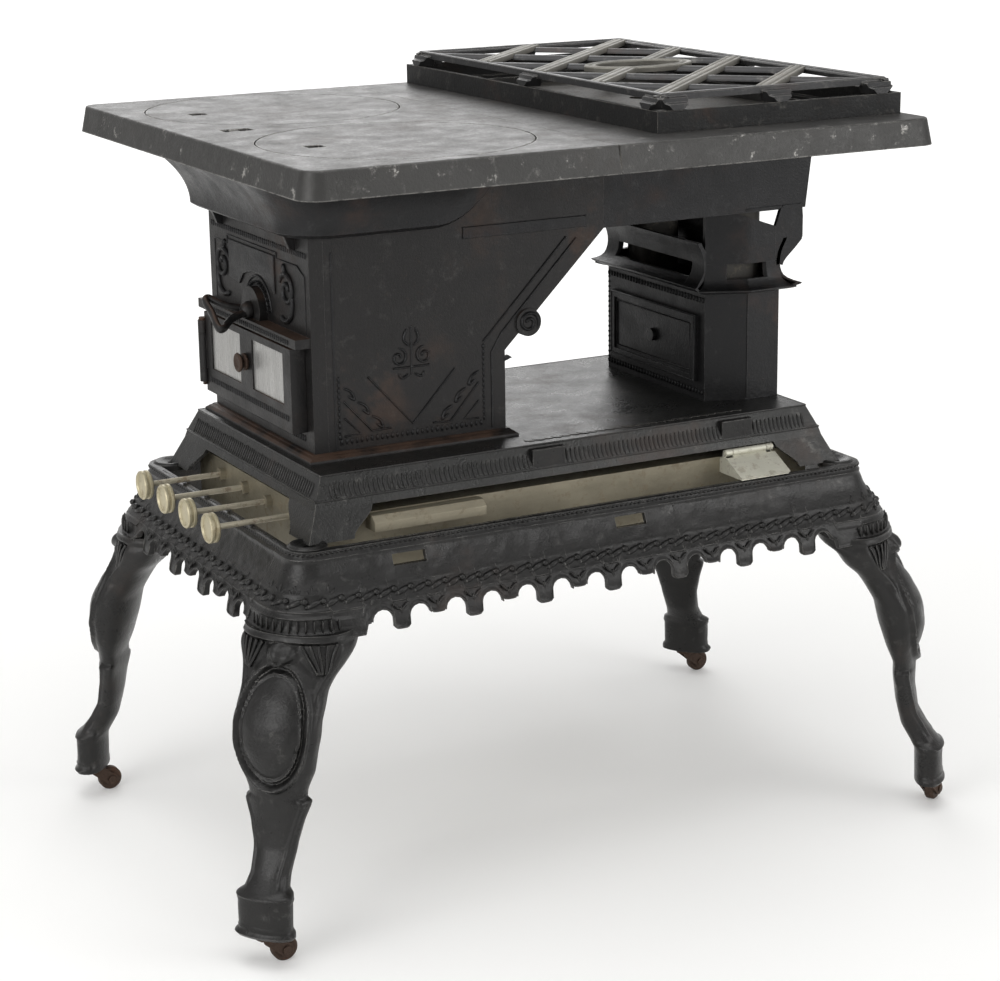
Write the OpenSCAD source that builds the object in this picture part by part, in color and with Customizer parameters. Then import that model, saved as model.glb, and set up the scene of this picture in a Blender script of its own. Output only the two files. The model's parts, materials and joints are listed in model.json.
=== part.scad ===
// Two-lid oil cook stove in cast iron, on four legs with casters.
// +X runs to the right along the front, +Y to the back, +Z up. The origin is on the floor,
// midway between the legs. Lengths are in millimetres.

/* [Heights] */
// Underside of the legs above the floor
foot_z = 26; // [24:0.5:34]
// Height of a leg
leg_h = 236; // [190:1:290]
// Height of the apron frame
apron_h = 68; // [58:1:84]
// Height of the plinth from its feet to its top face
plinth_h = 51; // [46:1:62]
// Height from the plinth's top face to the underside of the cooking top
housing_h = 259; // [225:1:310]

/* [Cooking top] */
// Thickness of the cooking top
top_t = 9; // [7:0.5:12]
// Overhang of the cooking top past the plinth on the left
over_left = 55; // [46:1:64]
// Overhang past the plinth on the right
over_right = 43; // [36:1:50]
// Overhang past the plinth at the front and at the back
over_side = 119; // [100:1:130]
// Height of the top's rim, its own thickness included
rim_h = 22.7; // [18:0.1:28]
// How far the rim flares outwards
rim_flare = 4.4; // [2:0.1:7]
// Wall of the rim
rim_t = 5; // [4:0.5:7]
// Corner radius of the cooking top
top_r = 14; // [8:1:20]
// Distance from the top's left edge to the joint between its two halves
seam_at = 269; // [262:1:278]
// Radius of a lid
lid_r = 113; // [95:1:116]
// Distance between the two lid centres
lid_pitch = 252; // [236:1:256]
// Distance from the top's left edge to the lid centres
lid_at = 135; // [128:1:140]

/* [Pot tray and grate] */
// Width of the tray, left to right
tray_w = 244; // [200:1:250]
// Depth of the tray, front to back
tray_d = 462; // [400:1:466]
// Height of the tray's wall
tray_h = 18; // [12:0.5:24]
// Wall of the tray
tray_t = 4; // [3:0.5:6]
// Height of the grate
grate_h = 13; // [10:0.5:18]
// Width of a grate strap
strap_w = 15; // [10:0.5:18]

/* [Plinth] */
// Width of the plinth's top face
plinth_w = 480; // [440:1:560]
// Depth of the plinth's top face
plinth_d = 270; // [250:1:300]
// Thickness of the plinth's walls
plinth_t = 5; // [4:0.5:6]

/* [Main burner housing] */
// Width of the housing at its base
house_w = 181; // [165:1:200]
// Depth of the housing
house_d = 218; // [200:1:228]
// Thickness of its cast panels
panel_t = 6; // [5:0.5:8]
// Depth of the end panel's edges
end_t = 13; // [11:0.5:16]
// Height at which the flue side starts to slope
flue_z = 75; // [65:1:85]

/* [Window door] */
// How far the door's edges lie in from the housing's edges
door_inset = 13; // [10:1:18]
// Height of the door
door_h = 72; // [66:1:73]
// Thickness of the door
door_t = 13.7; // [12:0.1:16]
// Width of the door's frame beside its panes
stile = 16; // [14:0.5:26]
// Height of a mica pane's opening
pane_h = 44; // [36:1:46]

/* [Side burner] */
// Width of the side box
box_w = 70; // [60:1:80]
// Depth of the side box
box_d = 201; // [180:1:220]
// Height of the side box
box_h = 99; // [85:1:115]

/* [Apron and legs] */
// How far the corner posts stand out past the plinth, left and right
post_x = 22; // [18:1:30]
// How far the corner posts stand out past the plinth, front and back
post_y = 19; // [18:1:26]
// Radius of a corner post at its foot
post_r = 48; // [44:1:54]
// Wall of the apron
apron_t = 5; // [4:0.5:7]
// Distance between two long pendants of the front and back aprons
pendant_pitch = 66.8; // [60:0.1:72]

/* [Burners] */
// Distance between two wick shafts
shaft_pitch = 52; // [46:1:56]
// Radius of a wick shaft
shaft_r = 2.5; // [2:0.1:3]
// Radius of a knob
knob_r = 12.8; // [10:0.1:15]
// Width of a flat wick
wick_w = 44; // [36:1:46]
// Thickness of a flat wick
wick_t = 3; // [2.4:0.1:4]

/* [Casters] */
// Radius of a caster wheel
wheel_r = 11; // [9:0.5:12]
// Width of a caster wheel
wheel_w = 9; // [7:0.5:11]
// Distance from the swivel to the wheel's axle
trail = 14; // [12:0.5:16]

/* [Fits] */
// Radial running clearance of a shaft in its bore
run_fit = 0.05; // [0.02:0.01:0.08]
// Gap between parts that move past each other
gap = 0.3; // [0.2:0.05:0.6]

/* [Hidden] */
$fn = 64;

// Levels
post_z = foot_z + leg_h;            // where a leg meets its corner post
apron_z = post_z + apron_h;         // top of the apron, on which the plinth stands
plinth_z = apron_z + plinth_h;      // the plinth's top face
under_z = plinth_z + housing_h;     // underside of the cooking top
top_z = under_z + top_t;            // the cooking surface

// Cooking top
top_x0 = -plinth_w / 2 - over_left;
top_x1 = plinth_w / 2 + over_right;
top_w = top_x1 - top_x0;
top_x = (top_x0 + top_x1) / 2;
top_d = plinth_d + 2 * over_side;
seam_x = top_x0 + seam_at;
seam_gap = 0.3;
rim_z = top_z - rim_h;
lid_x = top_x0 + lid_at;
lid_gap = 1;
lid_t = 5;
ledge_w = 7;
notch = 15;
notch_depth = 3;
notch_at = 72;
lifter_w = 26;
lifter_d = 16;
lifter_x = lid_x - 98;              // the lifter slot between the lids, and its bar
lifter_y = 4;
lifter_depth = 5;

// Tray and grate
tray_x1 = top_x1 - 6;
tray_x = tray_x1 - tray_w / 2;
tray_y = 16;
tray_z = top_z + tray_h;
tray_floor_w = 12;
tray_hole_r = 8;
grate_inset = 9;
grate_end = 11;
grate_w = tray_w - 2 * grate_inset;
grate_d = tray_d - 2 * grate_end;
bar_t = 6;
bar_w = 11;
grate_z = tray_z + grate_h;
strap_step = 103.5;                 // from one strap to the next, along the grate's edge
ring_w = 84;
ring_d = 44;
ring_out = 7;
ring_in = 5;

// Plinth: its outer face, as distance past its top edge at each level
plinth_face = [[0, plinth_z], [9, plinth_z - 20], [11, plinth_z - 27], [22, apron_z]];
plinth_foot_w = 30;
plinth_lap = 12;                    // width of the rim on which the plinth's top face rests

// Main housing: its left, right, front and back faces
flange_out = 8;
flange_h = 6;
house_in = 14;                      // the housing's end face stands this far in from the plinth's edge
house_x0 = -plinth_w / 2 + house_in;
house_x1 = house_x0 + house_w;
house_y = 16;
house_y0 = house_y - house_d / 2;
house_y1 = house_y + house_d / 2;
house_z = plinth_z + flange_h;
collar_h = 47;                      // from the side box up to its collar's upper lip
skirt_gap = 26;                     // from there up to the skirt
flange_in = 9;
skirt_z = plinth_z + box_h + collar_h + skirt_gap;  // lower edge of the side skirt
flue_reach = 99;                    // how far the flue side leans out
flue_top_x = house_x1 + flue_reach;
roll_r = 12;
roll_dx = 23;                       // the rolled edge's centre, from the foot of the slope
roll_dz = 22;
flare_r = 21;                       // corner radius of the flare where it meets the housing
flare_run = 104;                    // length of the flare along the front, past its corner
flare_h = 72;
flare_lip = 14;
flare_neck = 22;
flare_wall = 4;
flare_spread = min(59, over_left + house_in - rim_t - 4);

// Window door and lever
door_y = house_y;
door_w = house_d - 2 * door_inset;
door_z0 = house_z + 17;
door_z1 = door_z0 + door_h;
door_x1 = house_x0 - gap;
door_x0 = door_x1 - door_t;
mullion = 26;
pane_w = (door_w - mullion) / 2 - stile;
pane_y = (mullion + pane_w) / 2;
pane_z = door_z0 + 44;
open_in = 12;                       // overlap of the door on the end panel, left and right
open_low = 8;                       // and at its foot and its head
end_face = 5;
pane_edge = 3;
mica_t = 1;
pane_lip = 1.6;
hinge_x = door_x0 - 1;
hinge_y = door_y + door_w / 2 + 1;
pin_r = 2;
pin_head = 2.5;
knuckle_r = 4.5;
lug_h = 12;
lug_inset = 8;
ledge_z = door_z1 + 2;              // ledge over the door
ledge_h = 8;
lever_z = ledge_z + 15;
hood_out = 8;
spindle_r = 4;
latch_r = 3;
tongue = 38;
washer_t = 3;

// Side burner
box_x1 = plinth_w / 2 - 2;
box_x0 = box_x1 - box_w;
box_y = 6.5;
chamfer_x = 35;
chamfer_y = 15;
box_t = 5;
box_z = plinth_z + box_h;
cover_w = 148;
cover_h = 62;
cover_t = 4;
cover_z = plinth_z + box_h * 0.48;
screw_r = 2;
collar_lip = 0.2;                   // its lower lip and its neck, as shares of its height
collar_neck = 0.6;
lip_out = 17;
upper_lip_out = 11;
skirt_x1 = box_x1 + 28;
skirt_flare = min(10, top_x1 - rim_t - skirt_x1 - gap);
skirt_y0 = min(house_y0, box_y - box_d / 2 + 1);
skirt_y1 = box_y + box_d / 2 + 2;
deck_t = 1.2;

// Apron and legs
post_cx = plinth_w / 2 + post_x;
post_cy = plinth_d / 2 + post_y;
ring_r = 14;
lip = 6;                            // width and depth of the apron's flat top edge
stub = 20;                          // the front and back aprons turn this far along the sides
slot_x = [-182, 30];                // slots in the front and back aprons
slot_w = 30;
slot_z = [apron_z - 21, apron_z - 12];
skirt_low = 21;                     // height of the pendants
leg_dir = atan2(58, 74);            // the way a leg leans out, from the X axis
corners = [[-1, -1], [1, -1], [-1, 1], [1, 1]];

// Tank and burners
tank_z = apron_z + 15;
tank_h = 50;
tank_w = plinth_w;
tank_d = plinth_d + 6;
shaft_z = apron_z + 3.5;
shaft_x0 = -plinth_w / 2 - 80;
knob_t = 11;
wheel_out = 7;                      // radius of the toothed wheel that feeds a wick
wheel_t = 3;
wheel_at = 12;                      // a feed wheel's distance from the middle of its wick
main_wick_x = house_x0 + 80;
side_wick_x = box_x0 + box_w / 2 + 1;
wick_side = wheel_out + gap + wick_t / 2;   // from a shaft's axis to its wick's middle
wick_top = house_z + 28;
wall_t = 1.2;
gallery_z = wick_top - 8;
chimney_w = wick_w + 8;
chimney_d = 24;
tube_w = wick_w + 2 * gap + 2 * wall_t;
tube_t = wick_t + 2 * gap + 2 * wall_t;

// Filler spout: its middle, half its width, and the ends of its slope
filler_x = 172;
filler_half = 25;
filler_y = -tank_d / 2 - 8;
filler_z = apron_z + 20;
filler_low_y = -tank_d / 2 - 36;
filler_low_z = apron_z + 2;
filler_lug = 7;
filler_pin_r = 1.15;

// Casters
caster_turn = [0, 30, 0, 0];        // rest heading of each caster, from the X axis
axle_r = 2;
stem_r = 5;
stem_h = 20;
cheek = 2.5;                        // thickness of a fork's cheek
swivel_s = post_r + 44;             // from a post's centre out to its caster's swivel

function arc(x, y, r, from, to, n = 8) =
    [for (i = [0:n]) let (a = from + (to - from) * i / n) [x + r * cos(a), y + r * sin(a)]];
// Smooth step from 0 to 1
function ease(t) = t * t * (3 - 2 * t);

// A plate with round corners
module round_plate(w, d, r, t) {
    linear_extrude(t) {
        square([w - 2 * r, d], center = true);
        square([w, d - 2 * r], center = true);
        for (c = corners) translate([c[0] * (w / 2 - r), c[1] * (d / 2 - r)]) circle(r);
    }
}

// Sweeps a section, drawn as distance outwards and height, round a rectangle of w by d.
// The section turns about each corner of that rectangle.
module round_frame(w, d) {
    for (k = [0:3]) {
        along = k % 2 == 0 ? d : w;
        out = k % 2 == 0 ? w : d;
        rotate([0, 0, 90 * k]) {
            translate([out / 2, along / 2, 0]) rotate([90, 0, 0]) linear_extrude(along) children();
            translate([out / 2, along / 2, 0]) rotate_extrude(angle = 90) children();
        }
    }
}

// The same with square, mitred corners; the section may reach in by inset and out by reach
module mitre_frame(w, d, inset, reach) {
    for (k = [0:3]) {
        along = k % 2 == 0 ? d : w;
        out = k % 2 == 0 ? w : d;
        rotate([0, 0, 90 * k]) intersection() {
            translate([out / 2, along / 2 + reach, 0])
                rotate([90, 0, 0]) linear_extrude(along + 2 * reach) children();
            translate([0, 0, -5]) linear_extrude(top_z + 100)
                polygon([[out / 2 - inset, along / 2 - inset], [out / 2 + reach, along / 2 + reach],
                    [out / 2 + reach, -along / 2 - reach], [out / 2 - inset, -along / 2 + inset]]);
        }
    }
}

// A bar between two points
module rod(a, b, r) {
    v = b - a;
    translate(a) rotate([0, acos(v[2] / norm(v)), atan2(v[1], v[0])]) cylinder(h = norm(v), r = r);
}

module block(x0, x1, y0, y1, z0, z1) {
    translate([x0, y0, z0]) cube([x1 - x0, y1 - y0, z1 - z0]);
}

// ---- Cooking top ----

module top_rim_section() {
    bead = 2;
    translate([top_r, 0]) polygon(concat(
        [[-rim_t, under_z], [-rim_t - bead, top_z]],
        arc(-bead, top_z - bead, bead, 90, 12, 4),
        [[rim_flare, rim_z], [rim_flare - rim_t, rim_z]]));
}

// The whole cooking top, before it is parted at the seam
module whole_top() {
    translate([top_x, 0, 0]) {
        translate([0, 0, under_z]) round_plate(top_w - rim_t, top_d - rim_t, top_r, top_t);
        round_frame(top_w - 2 * top_r, top_d - 2 * top_r) top_rim_section();
    }
}

module top_plate_left() {
    color([0.2, 0.2, 0.2]) difference() {
        intersection() {
            whole_top();
            block(top_x0 - 20, seam_x - seam_gap / 2, -top_d, top_d, rim_z - 5, top_z + 5);
        }
        for (s = [-1, 1]) translate([lid_x, s * lid_pitch / 2, 0]) {
            translate([0, 0, under_z - 1]) cylinder(h = top_t + 2, r = lid_r - ledge_w);
            translate([0, 0, top_z - lid_t]) cylinder(h = lid_t + 1, r = lid_r + lid_gap);
        }
        difference() {
            block(lifter_x, lifter_x + lifter_w, lifter_y - lifter_d / 2, lifter_y + lifter_d / 2,
                top_z - lifter_depth, top_z + 1);
            block(lifter_x + lifter_w * 0.35, lifter_x + lifter_w * 0.65, lifter_y - lifter_d,
                lifter_y + lifter_d, top_z - lifter_depth - 1, top_z - 1.2);
        }
    }
}

module top_plate_right() {
    hole_w = tray_w - 2 * tray_floor_w;
    hole_d = tray_d - 2 * tray_floor_w;
    color([0.19, 0.19, 0.19]) difference() {
        intersection() {
            whole_top();
            block(seam_x + seam_gap / 2, top_x1 + 20, -top_d, top_d, rim_z - 5, top_z + 5);
        }
        translate([tray_x, tray_y, under_z - 1]) round_plate(hole_w, hole_d, tray_hole_r, top_t + 2);
    }
}

// A lid with its lifter notch; side is -1 for the front lid and 1 for the back one
module lid(side) {
    crown = 0.6;
    translate([lid_x, side * lid_pitch / 2, 0]) difference() {
        translate([0, 0, top_z - lid_t]) rotate_extrude($fn = 128) polygon([[0, -2.5],
            [lid_r - ledge_w - 2, -2.5], [lid_r - ledge_w - 2, 0], [lid_r, 0],
            [lid_r, lid_t - crown], [lid_r - crown, lid_t], [0, lid_t]]);
        translate([-notch_at - notch / 2, -notch / 2, top_z - notch_depth]) cube([notch, notch, 9]);
    }
}

module lid_front() { color([0.22, 0.22, 0.21]) lid(-1); }
module lid_back() { color([0.22, 0.22, 0.21]) lid(1); }

module pot_tray() {
    color([0.13, 0.13, 0.13]) translate([tray_x, tray_y, 0]) {
        mitre_frame(tray_w, tray_d, tray_floor_w, 0) {
            polygon([[-tray_floor_w, top_z], [0, top_z], [0, tray_z], [-tray_t, tray_z],
                [-tray_t, top_z + 3], [-tray_floor_w, top_z + 3]]);
        }
    }
}

// Straps at 45 degrees, turned to one side or the other
module straps(turn) {
    pitch = strap_step / sqrt(2);
    n = ceil((grate_w + grate_d) / pitch / 2);
    for (i = [-n:n]) rotate(turn) translate([0, i * pitch])
        square([grate_w + grate_d, strap_w], center = true);
}

// A tapered foot that reaches from under the grate's edge out onto the tray's wall
module grate_foot(w) {
    top_half = 15;
    low_half = 8;
    translate([0, w, 0]) rotate([90, 0, 0]) linear_extrude(w)
        polygon([[-low_half, tray_z], [low_half, tray_z], [top_half, grate_z - bar_t],
            [-top_half, grate_z - bar_t]]);
}

module pot_grate() {
    color([0.2, 0.2, 0.2]) translate([tray_x, tray_y, 0]) {
        translate([0, 0, grate_z - bar_t]) linear_extrude(bar_t) {
            difference() {
                square([grate_w, grate_d], center = true);
                square([grate_w - 2 * bar_w, grate_d - 2 * bar_w], center = true);
            }
            difference() {
                intersection() {
                    square([grate_w - 2 * bar_w + 1, grate_d - 2 * bar_w + 1], center = true);
                    union() { straps(45); straps(-45); }
                }
                square([ring_w, ring_d], center = true);
            }
            difference() {
                union() {
                    square([ring_w - ring_d, ring_d + 2 * ring_out], center = true);
                    for (s = [-1, 1]) translate([s * (ring_w - ring_d) / 2, 0])
                        circle(ring_d / 2 + ring_out);
                }
                square([ring_w - ring_d, ring_d - 2 * ring_in], center = true);
                for (s = [-1, 1]) translate([s * (ring_w - ring_d) / 2, 0]) circle(ring_d / 2 - ring_in);
            }
        }
        foot_x = tray_w / 2 - 20;
        foot_y = tray_d / 2 - 20;
        under_bar = 6;
        for (m = [0, 1], u = [-1, 0, 1]) {
            mirror([0, m, 0]) translate([u * foot_x, grate_d / 2 - under_bar, 0])
                grate_foot(grate_end + under_bar);
            mirror([m, 0, 0]) translate([grate_w / 2 - under_bar, u * foot_y, 0]) rotate([0, 0, -90])
                grate_foot(grate_inset + under_bar);
        }
    }
}

// ---- Main burner housing ----

// Outline of the front and back panels, in X and Z
module panel_outline() {
    polygon([[house_x0 + end_t, house_z], [house_x1, house_z], [house_x1, plinth_z + flue_z],
        [flue_top_x, skirt_z], [flue_top_x, under_z], [house_x0 + end_t, under_z]]);
}

// An upright panel from y0 to y0 + panel_t
module upright_panel(y0) {
    translate([0, y0 + panel_t, 0]) rotate([90, 0, 0]) linear_extrude(panel_t) panel_outline();
}

// The round end of the flue's rolled edge, on a panel's outer face
module roll_boss(y, out) {
    translate([house_x1 + roll_dx, y, plinth_z + flue_z + roll_dz]) rotate([90, 0, 0])
        cylinder(h = out, r = roll_r, center = true);
}

module front_panel() {
    out = 8;
    color([0.13, 0.13, 0.13]) {
        upright_panel(house_y0);
        roll_boss(house_y0 + panel_t - out / 2, out);
    }
}

module back_panel() {
    out = 8;
    color([0.13, 0.13, 0.13]) {
        upright_panel(house_y1 - panel_t);
        roll_boss(house_y1 - panel_t + out / 2, out);
    }
}

// The flue side: upright at its foot, a rolled edge, then sloping out to the side skirt
module flue_panel() {
    inner = house_d - 2 * panel_t;
    knee = plinth_z + flue_z;
    color([0.12, 0.12, 0.12]) translate([0, house_y1 - panel_t, 0]) rotate([90, 0, 0]) linear_extrude(inner)
        polygon([[house_x1 - panel_t, house_z], [house_x1, house_z], [house_x1, knee],
            [flue_top_x, skirt_z], [flue_top_x, under_z], [flue_top_x - panel_t, under_z],
            [flue_top_x - panel_t, skirt_z + panel_t / 2], [house_x1 - panel_t, knee + panel_t / 2]]);
}

// The flare below the cooking top: a cove that springs from the housing's upper edge.
// Its outline, as distance from the corner centre and height, with t from 0 at its foot to 1.
function flare_at(t, back = 0) = [flare_r + flare_neck - back + (flare_spread - flare_neck) * t * t,
    under_z - flare_h + 6 + back / 2 + (flare_h - flare_lip - 6) * t];
function flare_outer() = concat([[flare_r + flare_lip, under_z - flare_h + 2]],
    [for (i = [0:8]) flare_at(i / 8)], [[flare_r + flare_spread, under_z]]);

module flare_section() {
    foot = under_z - flare_h;
    polygon(concat([[flare_r - 2, foot]], flare_outer(), [[flare_r + flare_spread - flare_wall, under_z]],
        [for (i = [8:-1:0]) flare_at(i / 8, flare_wall)], [[flare_r - 2, foot + flare_wall]]));
}

module flare_hood() {
    cx = house_x0 + flare_r;
    color([0.12, 0.12, 0.12]) difference() {
        union() {
            intersection() {
                translate([cx + flare_run, house_y, 0])
                    round_frame(2 * flare_run, house_d - 2 * flare_r) flare_section();
                block(top_x0, cx + flare_run, -top_d / 2, top_d / 2, rim_z - flare_h, under_z);
            }
            // walls that close its two ends
            for (m = [0, 1]) translate([cx + flare_run - flare_wall, house_y, 0]) mirror([0, m, 0])
                translate([0, house_d / 2 - flare_r, 0]) rotate([90, 0, 90])
                    linear_extrude(flare_wall) polygon(concat([[flare_r - 2, under_z - flare_h]],
                        flare_outer(), [[flare_r - 2, under_z]]));
        }
        block(house_x0, cx + flare_run + 1, house_y0, house_y1, rim_z - flare_h - 5, under_z + 1);
    }
}

// The end panel: a face with deep edges, a door opening, a ledge over it, the lever's hood
// and two hinge lugs
module end_panel() {
    open_w = door_w - 2 * open_in;
    hood_r = 20;
    lug_z = [door_z0 + lug_inset, door_z1 - lug_inset - lug_h];
    color([0.14, 0.14, 0.14]) difference() {
        union() {
            difference() {
                block(house_x0, house_x0 + end_t, house_y0, house_y1, house_z, under_z);
                block(house_x0 + end_face, house_x0 + end_t + 1, house_y0 + panel_t, house_y1 - panel_t,
                    house_z - 1, under_z + 1);
            }
            block(house_x0 - house_in, house_x0, house_y0 + 1, house_y1 - 1, ledge_z, ledge_z + ledge_h);
            intersection() {
                translate([house_x0 - hood_out, door_y, lever_z]) rotate([0, 90, 0])
                    cylinder(h = hood_out, r = hood_r);
                block(house_x0 - hood_out, house_x0, house_y0, house_y1, ledge_z + 1, under_z);
            }
            for (z = lug_z) {
                translate([hinge_x, hinge_y, z]) cylinder(h = lug_h, r = knuckle_r);
                block(hinge_x, house_x0, hinge_y - 0.5, hinge_y + knuckle_r, z, z + lug_h);
            }
        }
        block(house_x0 - 1, house_x0 + end_face + 1, door_y - open_w / 2, door_y + open_w / 2,
            door_z0 + open_low, door_z1 - open_low);
        for (z = lug_z) translate([hinge_x, hinge_y, z - 1]) cylinder(h = lug_h + 2, r = pin_r);
        translate([house_x0 - 20, door_y, lever_z]) rotate([0, 90, 0])
            cylinder(h = 40, r = spindle_r + run_fit);
    }
}

module window_door() {
    lug_z = [door_z0 + lug_inset, door_z1 - lug_inset - lug_h];
    knuckle_z0 = lug_z[0] + lug_h + gap;
    knuckle_z1 = lug_z[1] - gap;
    color([0.14, 0.14, 0.14]) difference() {
        union() {
            block(door_x0, door_x1, door_y - door_w / 2, door_y + door_w / 2, door_z0, door_z1);
            translate([hinge_x, hinge_y, knuckle_z0]) cylinder(h = knuckle_z1 - knuckle_z0, r = knuckle_r);
        }
        for (s = [-1, 1]) translate([0, door_y + s * pane_y, pane_z]) {
            translate([(door_x0 + door_x1) / 2, 0, 0]) cube([door_t + 2, pane_w, pane_h], center = true);
            translate([door_x0 + pane_lip + door_t / 2, 0, 0])
                cube([door_t, pane_w + 2 * pane_edge, pane_h + 2 * pane_edge], center = true);
        }
        for (z = lug_z) translate([hinge_x, hinge_y, z - gap])
            cylinder(h = lug_h + 2 * gap + (z == lug_z[1] ? pin_head : 0), r = knuckle_r + gap);
        translate([hinge_x, hinge_y, door_z0 - 1]) cylinder(h = door_h + 2, r = pin_r + run_fit);
        translate([door_x0 - 1, door_y, pane_z]) rotate([0, 90, 0])
            cylinder(h = door_t + 2, r = latch_r + run_fit);
    }
}

module mica_panes() {
    color([0.8, 0.79, 0.75]) for (s = [-1, 1])
        translate([door_x0 + pane_lip + mica_t / 2, door_y + s * pane_y, pane_z])
            cube([mica_t, pane_w + 2 * pane_edge - 0.4, pane_h + 2 * pane_edge - 0.4], center = true);
}

module door_hinge_pin() {
    below = 3;
    long = door_h - 2 * lug_inset + below;
    color([0.25, 0.17, 0.12]) translate([hinge_x, hinge_y, door_z0 + lug_inset - below]) {
        cylinder(h = long, r = pin_r);
        translate([0, 0, long]) cylinder(h = pin_head, r = pin_r + 1.5);
    }
}

// Turn knob of the door: grip outside, spindle through the mullion, tongue inside
module turn_knob() {
    back_x = house_x0 + end_face + gap;
    grip_out = 9;
    grip_h = 24;
    color([0.3, 0.2, 0.15]) translate([0, door_y, pane_z]) {
        translate([door_x0 - grip_out, 0, 0]) rotate([0, 90, 0])
            cylinder(h = back_x + washer_t - door_x0 + grip_out, r = latch_r);
        translate([door_x0 - washer_t - gap, 0, 0]) rotate([0, 90, 0]) cylinder(h = washer_t, r = 6.5);
        translate([door_x0 - grip_out + 1, 0, 0]) cube([9, 5, grip_h], center = true);
        translate([back_x, -4, -4]) cube([washer_t, tongue + 4, 8]);
    }
}

// Stirrup-shaped lever handle on its spindle
module lever_handle() {
    hub_x = house_x0 - hood_out - gap;
    hub_t = 8;
    hub_r = 6.5;
    grip_x = hub_x - 34;
    half = 20;
    grip_r = 4.2;
    tilt = 34;
    inside = house_x0 + end_face + gap;
    color([0.15, 0.14, 0.14]) translate([0, door_y, lever_z]) rotate([tilt, 0, 0]) {
        translate([hub_x - hub_t, 0, 0]) rotate([0, 90, 0])
            cylinder(h = inside + washer_t - hub_x + hub_t, r = spindle_r);
        translate([hub_x - hub_t, 0, 0]) rotate([0, 90, 0]) cylinder(h = hub_t, r = hub_r);
        translate([inside, 0, 0]) rotate([0, 90, 0]) cylinder(h = washer_t, r = hub_r);
        for (s = [-1, 1]) {
            rod([hub_x - 5, s * 3, 0], [grip_x, s * half, 0], 3.2);
            translate([grip_x, s * half, 0]) sphere(grip_r);
        }
        translate([grip_x, 0, 0]) rotate([90, 0, 0]) cylinder(h = 2 * half, r = grip_r, center = true);
    }
}

// ---- Side burner ----

// Plan of the side box, grown outwards by out; its two left corners are cut off
module box_plan(out = 0) {
    k = out * 0.8;
    hy = box_d / 2 + out;
    cut_y = hy - chamfer_y - k * 0.2;
    polygon([[box_x0 - out, box_y - cut_y], [box_x0 + chamfer_x - out * 0.2, box_y - hy],
        [box_x1 + out, box_y - hy], [box_x1 + out, box_y + hy],
        [box_x0 + chamfer_x - out * 0.2, box_y + hy], [box_x0 - out, box_y + cut_y]]);
}

module side_box() {
    color([0.12, 0.12, 0.12]) difference() {
        translate([0, 0, plinth_z]) linear_extrude(box_h) box_plan();
        translate([0, 0, plinth_z - 1]) linear_extrude(box_h + 2) box_plan(-box_t);
        translate([box_x0 - 1, box_y, cover_z]) rotate([0, 90, 0]) cylinder(h = box_t + 2, r = screw_r);
    }
}

module side_box_cover() {
    z0 = cover_z - cover_h / 2;
    frame_w = 6;
    sunk = 2;
    color([0.13, 0.13, 0.13]) difference() {
        block(box_x0 - cover_t, box_x0, box_y - cover_w / 2, box_y + cover_w / 2, z0, z0 + cover_h);
        block(box_x0 - cover_t - 1, box_x0 - cover_t + sunk, box_y - cover_w / 2 + frame_w,
            box_y + cover_w / 2 - frame_w, z0 + frame_w, z0 + cover_h - frame_w);
        translate([box_x0 - cover_t - 1, box_y, cover_z]) rotate([0, 90, 0])
            cylinder(h = cover_t + 2, r = screw_r);
    }
}

// Screw that holds the side box's cover
module cover_screw() {
    head_t = 4;
    head_r = 6;
    seat_x = box_x0 - cover_t + 2;
    color([0.2, 0.2, 0.2]) translate([seat_x, box_y, cover_z]) rotate([0, 90, 0]) {
        translate([0, 0, -head_t]) cylinder(h = head_t, r = head_r);
        cylinder(h = box_x0 + box_t - seat_x, r = screw_r - run_fit);
    }
}

// How far the collar stands out past the side box, at a share t of its height:
// a flared lip, a hollow neck and a second, smaller lip
function collar_out(t) = t < collar_lip ? lip_out * pow(t / collar_lip, 1.6)
    : t < collar_neck ? lip_out * pow((collar_neck - t) / (collar_neck - collar_lip), 2)
    : upper_lip_out * pow((t - collar_neck) / (1 - collar_neck), 1.4);

// Ring above the side box, with plates up to the skirt at its front and its back
module side_collar() {
    steps = 15;
    step = collar_h / steps;
    seat = 0.05;
    high = box_z + collar_h;
    gap_z = [box_z + 15, box_z + 27];
    plate_t = 5;
    post = box_x0 + chamfer_x - 18;     // left edge of the post at the front and back
    bracket = box_x1 - 13;              // hollow edge of the bracket at the right
    color([0.11, 0.11, 0.11]) {
        difference() {
            for (k = [0:steps - 1]) translate([0, 0, box_z + k * step])
                linear_extrude(step + seat) box_plan(collar_out((k + 1) / steps));
            translate([0, 0, box_z - 1]) linear_extrude(collar_h + 2) box_plan(-box_t);
            block(post + 2, box_x1 - 14, box_y - box_d, box_y + box_d, gap_z[0], gap_z[1]);
            block(box_x0 - 30, box_x0 + 20, box_y - box_d * 0.3, box_y + box_d * 0.3, gap_z[0], gap_z[1]);
        }
        for (s = [-1, 1]) translate([0, box_y + s * (box_d - plate_t) / 2 + plate_t / 2, 0])
            rotate([90, 0, 0]) linear_extrude(plate_t) polygon([[post, high - 3], [box_x1, high - 3],
                [box_x1, skirt_z], [bracket + 4, skirt_z], [bracket, high + 11], [post + 9, high + 11],
                [post + 3, skirt_z], [box_x0 + 8, skirt_z], [post, high + 8]]);
    }
}

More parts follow.
